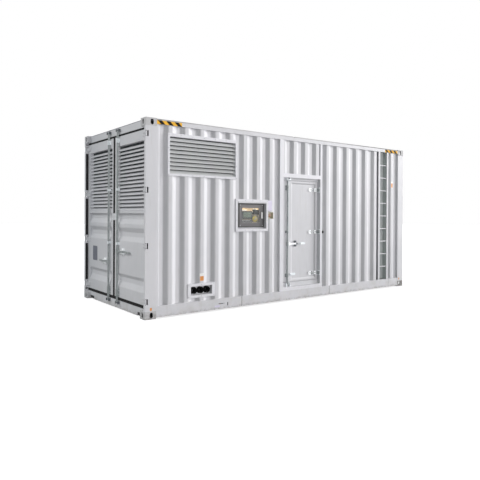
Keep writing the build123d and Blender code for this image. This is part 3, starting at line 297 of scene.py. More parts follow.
def housingPaint(name, look):
    look = {key: srgb(*value) if isinstance(value, tuple) else value
            for key, value in look.items()}
    shade = Shade(name)
    x, y, z = shade.axes()
    cloudy = shade.noise(look["clouds"], 4.0, 0.55).above(0.35, 0.7)
    runs = shade.noise(look["runs"], 2.0, 0.5, shade.stretched(1, 1, look["runStretch"]))
    specks = shade.noise(look["specks"], 2.0, 0.6)
    colour = shade.blend(cloudy * 0.8, look["colour"], look["shade"])
    colour = shade.blend(runs.above(0.56, 0.8) * 0.16, colour, look["dust"])
    leftDoorShade = (1 - x.above(-2.96, -2.9)) * y.above(-0.1, 1.1)  # painted shade: the left end door is darker
    colour = shade.blend(leftDoorShade * look["leftDoorShade"], colour, look["leftDoorShadeColour"])
    settled = shade.noise(0.16, 5.0, 0.65).above(0.4, 0.75)
    dustAndLight = (1 - z.above(0.02, look["dustTop"])) * settled
    colour = shade.blend(dustAndLight * 0.3, colour, look["dust"])
    splashed = shade.noise(0.05, 5.0, 0.7).above(0.4, 0.62)
    foot = (1 - z.above(0.005, look["footTop"])) * splashed
    colour = shade.blend(foot * 0.5, colour, look["stain"])
    colour = shade.blend(specks.above(0.72, 0.8) * 0.25, colour, look["dust"])
    rough = look["roughness"] + dustAndLight * 0.25 + foot * 0.2 + runs * 0.06
    normal = shade.bump(shade.noise(look["peel"], 2.0, 0.5), 0.00008, 0.5)
    waves = shade.noise(0.16, 2.0, 0.5, shade.stretched(1, 1, 0.3))
    normal = shade.bump(waves, look["buckle"], 0.5, normal)
    if look["grime"]:  # the front castings are darker, and the lower ones stained
        front = x.above(2.7, 2.95)
        colour = shade.blend(front * 0.5, colour, look["frontTone"])
        low = (1 - z.above(0.1, 0.3)) * shade.noise(0.04, 5.0, 0.7).above(0.3, 0.6)
        colour = shade.blend(front * low * look["grime"], colour, look["stain"])
    return shade.finish(colour=colour, roughness=rough, normal=normal, specular=look["specular"],
                        coat=0.1 * look["specular"], coatRoughness=0.35)


def zincPlate(name, bright, dull, grain, roughness, metallic):  # crystals of zinc
    shade = Shade(name)
    cell = {"Vector": shade.point, "Scale": 1 / grain}
    edges = shade.node("ShaderNodeTexVoronoi", cell)
    tone = shade.node("ShaderNodeTexVoronoi", cell, "Color")
    tone = shade.node("ShaderNodeRGBToBW", {0: tone})
    patina = shade.noise(0.06, 4.0, 0.6).above(0.4, 0.7)
    colour = shade.blend(tone * 0.5 + patina * 0.4, srgb(*bright), srgb(*dull))
    return shade.finish(colour=colour, roughness=roughness + tone * 0.12 + patina * 0.12,
                        metallic=metallic, normal=shade.bump(edges, 0.0002, 0.3))


def plainFinish(name, colour, other, roughness, grain=0.0012, depth=0.0001, **values):
    shade = Shade(name)
    cloudy = shade.noise(grain * 22, 4.0, 0.6).above(0.35, 0.7)
    fine = shade.noise(grain, 3.0, 0.6)
    mixed = shade.blend(cloudy * 0.7, srgb(*colour), srgb(*other))
    return shade.finish(colour=mixed, roughness=roughness + fine * 0.12,
                        normal=shade.bump(fine, depth, 0.6), **values)


def coverPaint(name, top, base):  # painted light and shade: paler towards the top and darker towards the bottom of the recess, and rougher where paler
    shade = Shade(name)
    _, _, z = shade.axes()
    dustAndLight = z.above(1.36, 1.68) + shade.noise(0.03, 4.0, 0.6) * 0.2 - 0.1
    normal = shade.bump(shade.noise(0.0012, 3.0, 0.6), 0.0001, 0.6)
    return shade.finish(colour=shade.blend(dustAndLight, srgb(*base), srgb(*top)),
                        roughness=0.42 + dustAndLight * 0.15, normal=normal)


def treadPlate(name, pitch):  # raised lozenges in two ways
    shade = Shade(name)
    x, y, _ = shade.axes()
    across, along = (x + y).offMiddle(pitch), (x - y).offMiddle(pitch)
    lozenge = (1 - across.above(0.08, 0.14)) * (1 - along.above(0.3, 0.4))
    wear = shade.noise(0.25, 4.0, 0.6).above(0.4, 0.7)
    colour = shade.blend(lozenge * 0.5 + wear * 0.3, srgb(88, 90, 92), srgb(128, 130, 132))
    return shade.finish(colour=colour, roughness=0.5 - lozenge * 0.12, metallic=0.8,
                        normal=shade.bump(lozenge, 0.0015, 1.0))


def liningSheet(name, pitch):  # perforated sheet over black cloth
    shade = Shade(name)
    x, _, z = shade.axes()
    hole = x.offMiddle(pitch).above(0.2, 0.26) * z.offMiddle(pitch).above(0.2, 0.26)
    weave = shade.noise(0.003, 2.0, 0.5)
    colour = shade.blend(hole * 0.9, srgb(124, 126, 128), srgb(16, 16, 17))
    return shade.finish(colour=colour, roughness=0.55 + hole * 0.35, metallic=0.6 - hole * 0.6,
                        normal=shade.bump(weave * 0.1 - hole, 0.0008, 0.8))


def hazardFilm(name, pitch, start):  # slanted yellow and black stripes
    shade = Shade(name)
    x, _, z = shade.axes()
    turn = (x + z - start) / pitch
    stripe = (turn + 100).fraction().above(0.47, 0.53)
    grime = shade.noise(0.03, 4.0, 0.6).above(0.45, 0.75)
    colour = shade.blend(stripe, srgb(28, 22, 14), srgb(244, 186, 66))
    colour = shade.blend(grime * 0.15, colour, srgb(120, 112, 100))
    return shade.finish(colour=colour, roughness=0.6 + grime * 0.2, specular=0.08)


def clearPane(name):
    shade = Shade(name)
    smears = shade.noise(0.05, 4.0, 0.6, shade.stretched(1, 1, 0.3)).above(0.5, 0.75)
    # painted reflection: the pale colour shows more at grazing angles, as the glass's reflection
    reflectionShare = shade.node("ShaderNodeFresnel", {"IOR": 1.45})
    return shade.finish(colour=srgb(214, 220, 218), roughness=0.03 + smears * 0.08,
                        alpha=reflectionShare * 0.6 + smears * 0.05 + 0.03)


moulded = {"depth": 0.00005}
pressed = {"grain": 0.0015, "depth": 0.00005}
printed = {"grain": 0.002, "depth": 0.00005}
glazed = {"grain": 0.004, "depth": 0.00002}
finishes = {
    "paint": housingPaint("housingPaint", paintLook),
    "casting": housingPaint("castingPaint", castingLook),
    "roof": housingPaint("roofPaint", roofLook),
    "shadedWell": housingPaint("wellPaint", wellShadeLook),
    "flange": housingPaint("flangePaint", flangeHighlightLook),
    "slat": housingPaint("slatPaint", slatShadeLook),
    "brightZinc": zincPlate("brightZinc", (250, 251, 252), (232, 236, 238), 0.012, 0.4, 0.15),
    "zinc": zincPlate("zincPlate", (234, 238, 240), (200, 206, 210), 0.012, 0.45, 0.35),
    "barZinc": zincPlate("barZinc", (164, 169, 169), (132, 138, 139), 0.01, 0.42, 0.5),
    "darkZinc": zincPlate("darkZinc", (112, 116, 120), (72, 76, 80), 0.006, 0.4, 0.6),
    "rubber": plainFinish("blackRubber", (18, 18, 19), (28, 28, 29), 0.75, specular=0.25),
    "cover": coverPaint("coverPaint", (112, 110, 110), (88, 87, 88)),
    "trim": plainFinish("trimPaint", (112, 111, 112), (102, 101, 102), 0.46),
    "olive": plainFinish("olivePaint", (206, 202, 184), (190, 186, 168), 0.5),
    "beige": plainFinish("beigePanel", (228, 204, 166), (214, 190, 154), 0.5),
    "button": plainFinish("buttonTan", (172, 136, 112), (158, 120, 98), 0.4, coat=0.3, **pressed),
    "tread": treadPlate("treadSteel", pitch=0.03),
    "lining": liningSheet("liningSheet", pitch=0.012),
    "hazard": hazardFilm("hazardFilm", pitch=0.1382, start=0.032),
    "pane": clearPane("clearPane"),
    "orange": plainFinish("orangeLabel", (216, 142, 66), (200, 126, 56), 0.4, **printed),
    "white": plainFinish("whitePlate", (214, 210, 226), (200, 194, 216), 0.35, **printed),
    "slate": plainFinish("slatePlate", (96, 100, 112), (84, 88, 100), 0.35, **printed),
    "black": plainFinish("blackPlastic", (26, 26, 27), (36, 36, 37), 0.4, **moulded),
    "pale": plainFinish("palePlastic", (236, 236, 234), (226, 226, 224), 0.38, **moulded),
    "yellow": plainFinish("yellowPlate", (222, 204, 104), (206, 186, 90), 0.4, **pressed),
    "screen": plainFinish("screenGlass", (96, 108, 98), (84, 96, 88), 0.15, **glazed,
                          glow=srgb(110, 124, 112), glowStrength=0.25),
    "strip": plainFinish("stripLight", (240, 240, 236), (236, 236, 232), 0.4,
                         glow=srgb(255, 238, 208), glowStrength=18.0),
    "copper": plainFinish("copperStud", (196, 130, 86), (170, 108, 70), 0.3, metallic=0.9),
}
slotFinishes = {  # the finishes of each slot, with the slot's own first
    "housing_paint": ("paint", "casting", "roof", "shadedWell", "flange", "slat", "hazard", "orange",
                      "white"),
    "galvanised_steel": ("zinc", "brightZinc", "barZinc", "darkZinc", "copper"),
    "cover_grey": ("cover", "trim", "slate", "pale"),
    "window_glass": ("pane", "screen", "strip"),
    "black_rubber": ("rubber", "black"),
    "panel_beige": ("beige", "yellow"),
    "tread_steel": ("tread",),
    "recess_olive": ("olive",),
    "button_red": ("button",),
    "lining_cloth": ("lining",),
}
slotFinish = {slot: held[0] for slot, held in slotFinishes.items()}
for name, obj in nodes.items():
    obj.data.materials.clear()
    obj.data.materials.append(finishes[slotFinish[slotOf[name]]])
print("finishes made:", len(finishes))


# Pressed and welded steel: the listed nodes get rounded edges, and the folded sheets and the side
# door's leaf rounded bends


def shown(name, mesh, body, replaced=()):  # a finished mesh as a piece of a body
    piece = linked(name, mesh)
    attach(piece, body)
    if replaced:
        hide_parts(*replaced)


bendLook = {"least": 0.15, "most": 0.75, "reach": 0.02, "segments": 5}
edgeLook = {"segments": 2, "limit_method": "ANGLE", "angle_limit": 1.0}
mergeReach, flatAngle = 1e-5, math.radians(0.5)


def isBend(edge):
    angle = edge.calc_face_angle(0)
    return bendLook["least"] < angle < bendLook["most"] and edge.calc_length() > bendLook["reach"]


def within(point, box):
    return all(low < place < high for place, (low, high) in zip(point, box))


def boxes(held):  # an object of plain boxes that cut a shape
    shape = bmesh.new()
    for box in held:
        middle = [(low + high) / 2 for low, high in box]
        size = [high - low for low, high in box]
        place = Matrix.Translation(middle) @ Matrix.Diagonal((*size, 1))
        bmesh.ops.create_cube(shape, size=1, matrix=place)
    mesh = bpy.data.meshes.new("cutter")
    shape.to_mesh(mesh)
    shape.free()
    return bpy.data.objects.new("cutter", mesh)


def modified(holder, kind, **settings):
    modifier = holder.modifiers.new(kind.lower(), kind)
    for key, value in settings.items():
        setattr(modifier, key, value)


def dress(node, edge, bend=0.0, zones=(), moves=(), planes=(), cuts=()):
    shape = bmesh.new()
    shape.from_mesh(nodes[node].data)
    for box, origin, scale, shift in moves:
        for vertex in shape.verts:
            if within(vertex.co, box):
                vertex.co.x = origin + (vertex.co.x - origin) * scale + shift
    bmesh.ops.remove_doubles(shape, verts=shape.verts, dist=mergeReach)
    bmesh.ops.dissolve_limit(shape, angle_limit=flatAngle, verts=shape.verts, edges=shape.edges)
    for x in planes:
        every = [*shape.verts, *shape.edges, *shape.faces]
        bmesh.ops.bisect_plane(shape, geom=every, plane_co=(x, 0, 0), plane_no=(1, 0, 0))
    if bend:
        bends = [one for one in shape.edges if isBend(one)]
        bmesh.ops.bevel(shape, geom=bends, offset=bend, segments=bendLook["segments"],
                        profile=0.5, affect="EDGES", clamp_overlap=True)
    for face in shape.faces:
        face.smooth = True
        for index, (box, _) in enumerate(zones):
            if within(face.calc_center_median(), box):
                face.material_index = index + 1
    rough = bpy.data.meshes.new("rough")
    shape.to_mesh(rough)
    shape.free()
    for finish in (slotFinish[slotOf[node]], *(finish for _, finish in zones)):
        rough.materials.append(finishes[finish])
    holder = linked("holder", rough)
    cutter = boxes(cuts) if cuts else None
    if cutter:
        modified(holder, "BOOLEAN", object=cutter, operation="DIFFERENCE", solver="EXACT")
    modified(holder, "BEVEL", width=edge, **edgeLook)
    modified(holder, "WEIGHTED_NORMAL", weight=80)
    mesh = plainMesh(holder)
    if cutter:
        bpy.data.meshes.remove(cutter.data)
    shown(node + "Dressed", mesh, bodyOf[node], (node,))


bendRadius = {"wall": 0.017, "roof": 0.02, "panel": 0.009, "leaf": 0.004}
edgeRadius = {"casting": 0.005, "frame": 0.0025, "sheet": 0.001, "fine": 0.0008}
steelEdges = {
    "casting": ("bottom_corner_fittings", "top_corner_fittings"),
    "frame": ("door_end_posts", "front_posts", "end_sills", "end_headers", "bottom_side_rails",
              "top_side_rails", "right_end_door_frame", "left_end_door_frame", "side_door_leaf",
              "side_door_frame"),
    "sheet": ("cable_outlet_tray", "control_recess", "control_cover", "emergency_stop_tray",
              "ladder_recess", "side_door_bumper", "side_door_brackets_and_keepers",
              "end_door_keepers"),
    "fine": ("side_door_hardware", "right_end_door_hardware", "left_end_door_hardware",
             "side_lock_bar", "right_end_door_lock_bar", "left_end_door_lock_bar"),
}

# Zones of a node with a finish of their own: spans in x, y and z

anywhere = (-9, 9)
flangeSkin = (-nearFace - 0.0005, -nearFace + 0.0045)  # y spans of what lies on the near wall
frameSkin = (-nearFace - 0.0005, -nearFace + 0.0025)
sideGear, endGear = (-1.25, -1.1), (-3.1, -2.9)  # y and x spans of what stands on a door
hingeLevels = (2.665, 1.858, 1.055, 0.255)
strapLevels = (1.968, 1.198, 0.448)
lockBarCuts = (-0.062, -0.02, 0.05)
castingSize, castingWall = (0.178, 0.162, 0.118), 0.0105
forkSlots = ((0.862, 1.0575), (-1.0575, -0.862))
endDoors = {  # the way from the middle seen from outside, and the height of the handle
    "right_end_door": (1, (0.8, 1.03)),
    "left_end_door": (-1, (0.62, 0.83)),
}


def around(middle, half):
    return middle - half, middle + half


def zone(finish, x=anywhere, y=anywhere, z=anywhere):
    return (x, y, z), finish


def hollowShades(name):  # the insides of four castings, painted black as shade
    ends, sides, levels = ((low + size / 2, high - size / 2)
                           for (low, high), size in zip(spans(name), castingSize))
    halves = [size / 2 - castingWall for size in castingSize]
    return [zone("black", *map(around, (x, y, levels[0]), halves)) for x in ends for y in sides]


def leafZones(way, rows):  # zones of an end door, from finish, reach from the middle and height
    return [zone(finish, endGear, sorted(-way * edge for edge in across), height)
            for finish, across, height in rows]


zonesOf = {
    # painted shade: black faces inside the hinge pockets of the door end posts
    "door_end_posts": [zone("black", (0.0005 - endFace, -2.95), around(way * 1.195, 0.0235),
                            around(level, 0.03)) for way in (1, -1) for level in hingeLevels],
    # painted highlight: the flange zones get a paler paint
    "control_recess": [zone("flange", y=flangeSkin)],
    "cable_outlet_tray": [zone("flange", y=flangeSkin)],
    "side_door_frame": [zone("flange", y=frameSkin)],
    # the ladder recess: its flange a painted highlight, its well painted shade
    "ladder_recess": [zone("flange", y=frameSkin), zone("shadedWell", (2.2585, 2.4775), (-1.21, -1.1))],
    "bottom_corner_fittings": [zone("casting"), *hollowShades("bottom_corner_fittings")],
    "top_corner_fittings": [zone("casting"), *hollowShades("top_corner_fittings")],
    "roof_panels": [zone("roof")],
    "end_door_keepers": [zone("darkZinc")],
    "side_lock_bar": [
        zone("barZinc", (-0.3, -0.24), sideGear),
        zone("brightZinc", (-0.24, lockBarCuts[0]), sideGear),
        # painted shadow: the hub below the handle is darker
        zone("darkZinc", lockBarCuts[:2], sideGear),
        zone("barZinc", lockBarCuts[1:], sideGear),
    ],
    "side_door_hardware": [  # guides, catch, straps with their knuckles and ribs; the catch's hub is darker as a painted shadow, the straps bright and their knuckles and ribs darker as painted shade
        zone("barZinc", (-0.31, -0.22), sideGear),
        zone("darkZinc", (-0.105, -0.02), sideGear, (0.9, 1.1)),
        zone("brightZinc", (0.2, 0.6), sideGear),
        zone("barZinc", (0.432, 0.6), sideGear),
        *(zone("barZinc", (0.2, 0.43), (-1.2, -1.1605), around(level, 0.008))
          for level in strapLevels),
    ],
}
for name, (way, handle) in endDoors.items():
    zonesOf[name + "_lock_bar"] = leafZones(way, (
        ("barZinc", (0.1, 0.205), anywhere), ("barZinc", (0.205, 0.7), handle),
        ("darkZinc", (0.1, 0.3), (2.76, 3)), ("darkZinc", (0.1, 0.3), (0, 0.17)),
    ))
    zonesOf[name + "_hardware"] = leafZones(way, (
        ("paint", (1.04, 1.3), anywhere), ("brightZinc", (0.29, 0.43), handle),
        ("paint", (0, 0.06), (1.3, 1.6)), ("barZinc", (0.1, 0.25), (0.15, 0.4)),
    ))
reshapes = {  # moves are spans, then the origin, scale and shift of x
    "side_door_leaf": {"bend": bendRadius["leaf"]},
    "side_door_hardware": {"moves": [
        (((0.2, 0.44), anywhere, anywhere), 0.44, 0.85, 0),
        (((-0.12, -0.02), anywhere, (0.9, 1.1)), -0.052, 0.62, 0),
    ]},
    "side_lock_bar": {"planes": lockBarCuts},
    "control_recess": {"moves": [(((-1.5, -1.33), (-9, -1.2), anywhere), 0, 1, -0.02)]},
    "end_sills": {"cuts": [((-3.1, -2.7), span, (-0.01, 0.064)) for span in forkSlots]},
}
for kind, held in steelEdges.items():
    for name in held:
        dress(name, edgeRadius[kind], zones=zonesOf.get(name, ()), **reshapes.get(name, {}))
sheets = {name: "wall" for name in nodes if "wall" in name and "sheet" in name}
sheets.update(roof_panels="roof", right_end_door_panel="panel", left_end_door_panel="panel")
for name, kind in sheets.items():
    dress(name, edgeRadius["sheet"], bendRadius[kind], zonesOf.get(name, ()))
print("steel dressed")


# Shapes of one body, each placed on a face of the enclosure: right, up and outwards

faceAxes = {
    "near": ((1, 0, 0), (0, 0, 1), (0, -1, 0)), "far": ((-1, 0, 0), (0, 0, 1), (0, 1, 0)),
    "door": ((0, -1, 0), (0, 0, 1), (-1, 0, 0)),
}


def onFace(side, reach, right=0.0, up=0.0):
    axes = [Vector(axis) for axis in faceAxes[side]]
    turn = Matrix(axes).transposed().to_4x4()
    return Matrix.Translation(axes[0] * right + axes[1] * up + axes[2] * reach) @ turn


def nearBox(name):  # a node's middle, size, front and back as seen from the near side
    (left, right), (front, back), (base, top) = spans(name)
    return ((left + right) / 2, (base + top) / 2), (right - left, top - base), -front, -back


def rectangle(left, right, base, top):
    return [(left, base), (right, base), (right, top), (left, top)]


def roundRect(width, height, radius, x=0.0, y=0.0, steps=5):
    outline = []
    for corner, (right, up) in enumerate(((1, -1), (1, 1), (-1, 1), (-1, -1))):
        for step in range(steps + 1):
            angle = math.pi / 2 * (corner - 1 + step / steps)
            outline.append((x + right * (width / 2 - radius) + radius * math.cos(angle),
                            y + up * (height / 2 - radius) + radius * math.sin(angle)))
    return outline


def disc(radius, sides=32):
    turns = [2 * math.pi * side / sides for side in range(sides)]
    return [(radius * math.cos(turn), radius * math.sin(turn)) for turn in turns]


def grid(across, levels):
    return [(x, z) for x in across for z in levels]


def mirrored(areas):
    return [(-right, -left, base, top) for left, right, base, top in areas]


class Form:  # a piece of one body, made of parts with a finish each
    creaseAngle = 0.6

    def __init__(self, name, body="enclosure"):
        self.name = name
        self.body = body
        self.shape = bmesh.new()
        self.used = []

    def add(self, part, place, finish):
        if finish not in self.used:
            self.used.append(finish)
        bmesh.ops.recalc_face_normals(part, faces=part.faces)
        for face in part.faces:
            face.material_index = self.used.index(finish)
            face.smooth = True
        bmesh.ops.transform(part, matrix=place, verts=part.verts)
        mesh = bpy.data.meshes.new("part")
        part.to_mesh(mesh)
        part.free()
        self.shape.from_mesh(mesh)
        bpy.data.meshes.remove(mesh)

    def grow(self, pattern, points, edges, place, finish, **look):  # a pattern on some points
        mesh = pattern.grow(points, edges, finishes[finish], **look)
        part = bmesh.new()
        part.from_mesh(mesh)
        bpy.data.meshes.remove(mesh)
        self.add(part, place, finish)

    def loft(self, loops, place, finish, edge=0.0, ends="closed"):  # skin over equal loops
        part = bmesh.new()
        rings = [[part.verts.new(point) for point in loop] for loop in loops]
        if ends == "joined":
            rings.append(rings[0])
        count = len(rings[0])
        for lower, upper in zip(rings, rings[1:]):
            for k in range(count):
                after = (k + 1) % count
                part.faces.new((lower[k], lower[after], upper[after], upper[k]))
        if ends == "closed":
            part.faces.new(list(reversed(rings[0])))
            part.faces.new(rings[-1])
        if edge:
            sharp = [one for one in part.edges if one.calc_face_angle(0) > self.creaseAngle]
            bmesh.ops.bevel(part, geom=sharp, offset=edge, segments=2, profile=0.5,
                            affect="EDGES", clamp_overlap=True)
        self.add(part, place, finish)

    def prism(self, outline, low, high, place, finish, edge=0.0006):
        loops = [[(x, y, level) for x, y in outline] for level in (low, high)]
        self.loft(loops, place, finish, edge)

    def ring(self, outer, inner, low, high, place, finish, edge=0.0005):
        section = ((outer, low), (outer, high), (inner, high), (inner, low))
        loops = [[(x, y, level) for x, y in outline] for outline, level in section]
        self.loft(loops, place, finish, edge, "joined")

    def turned(self, profile, place, finish, sides=32, ends="closed"):  # radius and level
        loops = [[(x, y, level) for x, y in disc(radius, sides)] for radius, level in profile]
        self.loft(loops, place, finish, ends=ends)

    def done(self, replaced=(), sharp=35):
        mesh = bpy.data.meshes.new(self.name)
        self.shape.to_mesh(mesh)
        self.shape.free()
        for finish in self.used:
            mesh.materials.append(finishes[finish])
        mesh.set_sharp_from_angle(angle=math.radians(sharp))
        shown(self.name, mesh, self.body, replaced)


# Patterns


def boltPattern():  # heads on washers, facing the pattern's Z
    made = Pattern("boltHeads", Radius=0.008, Height=0.006, Sides=6, Washer=0.013)
    radius, height, sides = made.given("Radius"), made.given("Height"), made.given("Sides")
    seat = height * 0.25
    washer = made.moved(made.cylinder(20, made.given("Washer"), seat), z=seat * 0.5)
    head = made.moved(made.cylinder(sides, radius, height), z=height * 0.5)
    crown = made.moved(made.cone(sides, radius, radius * 0.72, seat), z=height)
    shape = made.joined(washer, head, crown)
    return made.close(made.repeated(made.given("Geometry"), shape))


def beadPattern():  # rippled weld bead along the base edges
    made = Pattern("weldBead", Radius=0.004, Pitch=0.009, Ripple=0.2)
    pitch = made.given("Pitch")
    line = made.node("GeometryNodeMeshToCurve", {0: made.given("Geometry")})
    values = {"Curve": line, "Length": pitch * 0.5}
    line = made.node("GeometryNodeResampleCurve", values, mode="LENGTH")
    along = made.node("GeometryNodeSplineParameter", output="Length")
    wave = along.maths("SINE", along * 2 * math.pi / pitch)
    spread = made.node("ShaderNodeTexNoise", {"Scale": 60.0})
    girth = made.given("Radius") * (wave * made.given("Ripple") + 0.6 + spread * 0.8)
    hoop = made.node("GeometryNodeCurvePrimitiveCircle", {"Resolution": 6, "Radius": 1.0})
    values = {"Curve": line, "Profile Curve": hoop, "Scale": girth, "Fill Caps": True}
    return made.close(made.node("GeometryNodeCurveToMesh", values))


def slatPattern():  # folded slats one above the other along Y, with the base as their section
    made = Pattern("slatBank", Width=1.0, Rise=0.06, Count=9, Sheet=0.003, Bend=0.005)
    line = made.node("GeometryNodeMeshToCurve", {0: made.given("Geometry")})
    values = {"Curve": line, "Count": 4, "Radius": made.given("Bend"), "Limit Radius": True}
    line = made.node("GeometryNodeFilletCurve", values, mode="POLY")
    line = made.node("GeometryNodeCurveToMesh", {"Curve": line})
    across = made.node("ShaderNodeCombineXYZ", {"X": made.given("Width")})
    strip = made.node("GeometryNodeExtrudeMesh", {0: line, "Offset": across}, mode="EDGES")
    values = {0: strip, "Offset Scale": made.given("Sheet"), "Individual": False}
    back = made.node("GeometryNodeExtrudeMesh", values)
    front = made.node("GeometryNodeFlipFaces", {0: strip})
    values = {0: made.joined(back, front), "Distance": 0.00005}
    slat = made.node("GeometryNodeMergeByDistance", values)
    return made.close(made.repeated(made.row(made.given("Count"), y=made.given("Rise")), slat))


def screenPattern():  # woven wires over a rectangle, from its lower left corner
    made = Pattern("wireScreen", Width=1.0, Height=0.5, Pitch=0.016, Wire=0.0009)
    width, height = made.given("Width"), made.given("Height")
    pitch, wire = made.given("Pitch"), made.given("Wire")
    flat, tall = made.cylinder(6, wire, width), made.cylinder(6, wire, height)
    flat = made.moved(flat, x=width * 0.5, turn=(0.0, math.pi / 2, 0.0))
    tall = made.moved(tall, y=height * 0.5, z=wire * 1.6, turn=(math.pi / 2, 0.0, 0.0))
    rows = made.repeated(made.row(height / pitch, y=pitch), flat)
    columns = made.repeated(made.row(width / pitch, x=pitch), tall)
    return made.close(made.joined(rows, columns))


def rungPattern():  # bars along X with a weld collar at each end, centred on the base points
    made = Pattern("rungs", Length=0.218, Radius=0.011, Collar=0.007)
    length, radius, collar = made.given("Length"), made.given("Radius"), made.given("Collar")
    bar = made.cylinder(28, radius, length)
    cone = made.cone(28, radius + collar, radius, collar, 3)
    lower = made.moved(cone, z=length * -0.5)
    upper = made.moved(cone, z=length * 0.5, turn=(math.pi, 0.0, 0.0))
    shape = made.moved(made.joined(bar, lower, upper), turn=(0.0, math.pi / 2, 0.0))
    return made.close(made.repeated(made.given("Geometry"), shape))


bolts, bead, slats = boltPattern(), beadPattern(), slatPattern()
screen, rungs = screenPattern(), rungPattern()


def chain(line):  # edges from each point of a line to the next
    return [(k, k + 1) for k in range(len(line) - 1)]


# Louvre banks: slats before a wire screen, a black rubber baffle that stands in for the shade
# inside, and a lining plate

slatLook = {
    "lip": 0.012, "hem": 0.006, "hemBack": 0.0018, "reach": 0.042, "upstand": 0.004,
    "sheet": 0.003, "bend": 0.005,
}
screenLook = {"Pitch": 0.016, "Wire": 0.0009}
bayX, _, bayZ = spans("side_louvres")
sideLouvre = {  # a slat's slope ends at its knee, and backing is finish, insets and depths
    "bay": (*bayX, *bayZ),
    "window": (bayX[0] + 0.032, bayX[1] - 0.032, bayZ[0] + 0.032, bayZ[1] - 0.048),
    "outer": nearFace, "inner": 1.157, "edge": 0.002, "face": 1.203, "screen": 1.160,
    # the side slats' finish is painted shade
    "count": 9, "pitch": 0.06, "knee": 0.048, "finish": "slat",
    # the rubber baffle is painted shade: a black sheet for the dark inside
    "backing": (("rubber", 0, 0, -0.012, -0.009), ("lining", 0, 0, -0.014, -0.0122)),
}
bankX, bankY, bankZ = spans("left_end_door_louvre")
endLouvre = {
    "window": (*bankY, *bankZ), "face": -bankX[0], "back": -bankX[1], "screen": 2.920,
    "count": 17, "pitch": 0.0585, "knee": 0.042, "finish": "paint",
    # the rubber baffle is painted shade: a black sheet for the dark inside
    "backing": (("rubber", 0.0035, 0, -0.003, -0.0015), ("lining", 0.0035, 0.001, -0.005, -0.0032)),
}


def slatBank(form, look, side, corner, width):  # hem, lip, slope and upstand
    back = -slatLook["reach"]
    section = [(0, slatLook["hemBack"], -slatLook["hem"]), (0, 0, 0), (0, slatLook["lip"], 0),
               (0, look["knee"], back), (0, look["knee"] + slatLook["upstand"], back)]
    form.grow(slats, section, chain(section), onFace(side, look["face"], *corner),
              look["finish"], Width=width, Count=look["count"], Rise=look["pitch"],
              Sheet=slatLook["sheet"], Bend=slatLook["bend"])


def backing(form, look, side, corner, width, height):
    place = onFace(side, look["screen"], *corner)
    form.grow(screen, [], [], place, "darkZinc", Width=width, Height=height, **screenLook)
    for finish, inset, rise, low, high in look["backing"]:
        outline = rectangle(inset, width - inset, rise, height - rise)
        form.prism(outline, low, high, place, finish)


sideBanks = Form("sideLouvreBanks")
left, right, base, top = sideLouvre["window"]
for side, flip in (("near", 1), ("far", -1)):
    corner = (min(left * flip, right * flip), base)
    slatBank(sideBanks, sideLouvre, side, corner, right - left)
    outer, inner = ([(x * flip, z) for x, z in rectangle(*sideLouvre[part])]
                    for part in ("bay", "window"))
    sideBanks.ring(outer, inner, sideLouvre["inner"], sideLouvre["outer"], onFace(side, 0),
                   "flange", sideLouvre["edge"])
    backing(sideBanks, sideLouvre, side, corner, right - left, top - base)
sideBanks.done(("side_louvres",))

near, far, base, top = endLouvre["window"]
for name, (way, _) in endDoors.items():
    corner = (min(way * near, way * far), base)
    bank = Form(name + "LouvreBank", bodyOf[name + "_louvre"])
    slatBank(bank, endLouvre, "door", corner, far - near)
    for edge, inward in ((near, slatLook["sheet"]), (far, -slatLook["sheet"])):
        cheek = rectangle(*sorted((way * edge, way * (edge + inward))), base, top)
        bank.prism(cheek, endLouvre["back"], endLouvre["face"], onFace("door", 0), "paint")
    backing(bank, endLouvre, "door", corner, far - near, top - base)
    bank.done((name + "_louvre",))
print("louvre banks made")


# Ladder

ladder = {"pitch": 0.261, "count": 9}
(x, level), _, front, back = nearBox("ladder_rungs")
base = level - ladder["pitch"] * (ladder["count"] - 1) / 2
ladderBars = Form("ladderBars")
places = [(x, base + ladder["pitch"] * rung, (front + back) / 2)
          for rung in range(ladder["count"])]
ladderBars.grow(rungs, places, [], onFace("near", 0), "paint")
ladderBars.done(("ladder_rungs",))


# Weld beads along the wall sheets, at the castings and at the rail's ends

fold = {
    "pitch": 0.278, "slope": 0.068, "crest": 0.072, "start": -2.722,
    "crestY": crestFace, "valleyY": crestFace - 0.036, "turns": range(-1, 22),
}
postX = (wallX[1] + 0.002, endFace - 0.003)
welding = {
    "levels": wallZ, "overDoor": (-0.400, 0.507), "thin": 0.003,
    "bays": ((wallX[0], frameX[0]), (frameX[1], recessX[0]), (recessX[1], wallX[1])),
    "castings": ((-postX[1], -postX[0]), postX), "castingLevels": spans("front_posts")[2],
    "castingReach": nearFace - 0.0005, "railEnds": (-2.669, 2.556),
    "railSpan": (0.024, 0.178), "railReach": railFace + 0.0005,
}


def foldDepth(x):  # how far the wall's outer face lies from the middle of the enclosure
    along = (x - fold["start"]) % fold["pitch"]
    rise = min(along, 2 * fold["slope"] + fold["crest"] - along) / fold["slope"]
    return fold["valleyY"] + (fold["crestY"] - fold["valleyY"]) * max(0.0, min(1.0, rise))


def foldLine(start, stop):  # stations of the wall's bends between two ends
    bends = (0, fold["slope"], fold["slope"] + fold["crest"], 2 * fold["slope"] + fold["crest"])
    stations = [fold["start"] + turn * fold["pitch"] + bend
                for turn in fold["turns"] for bend in bends]
    return [start, *(x for x in stations if start < x < stop), stop]


welds = Form("weldBeads")


def weld(line, side, **look):
    welds.grow(bead, line, chain(line), onFace(side, 0), "paint", **look)


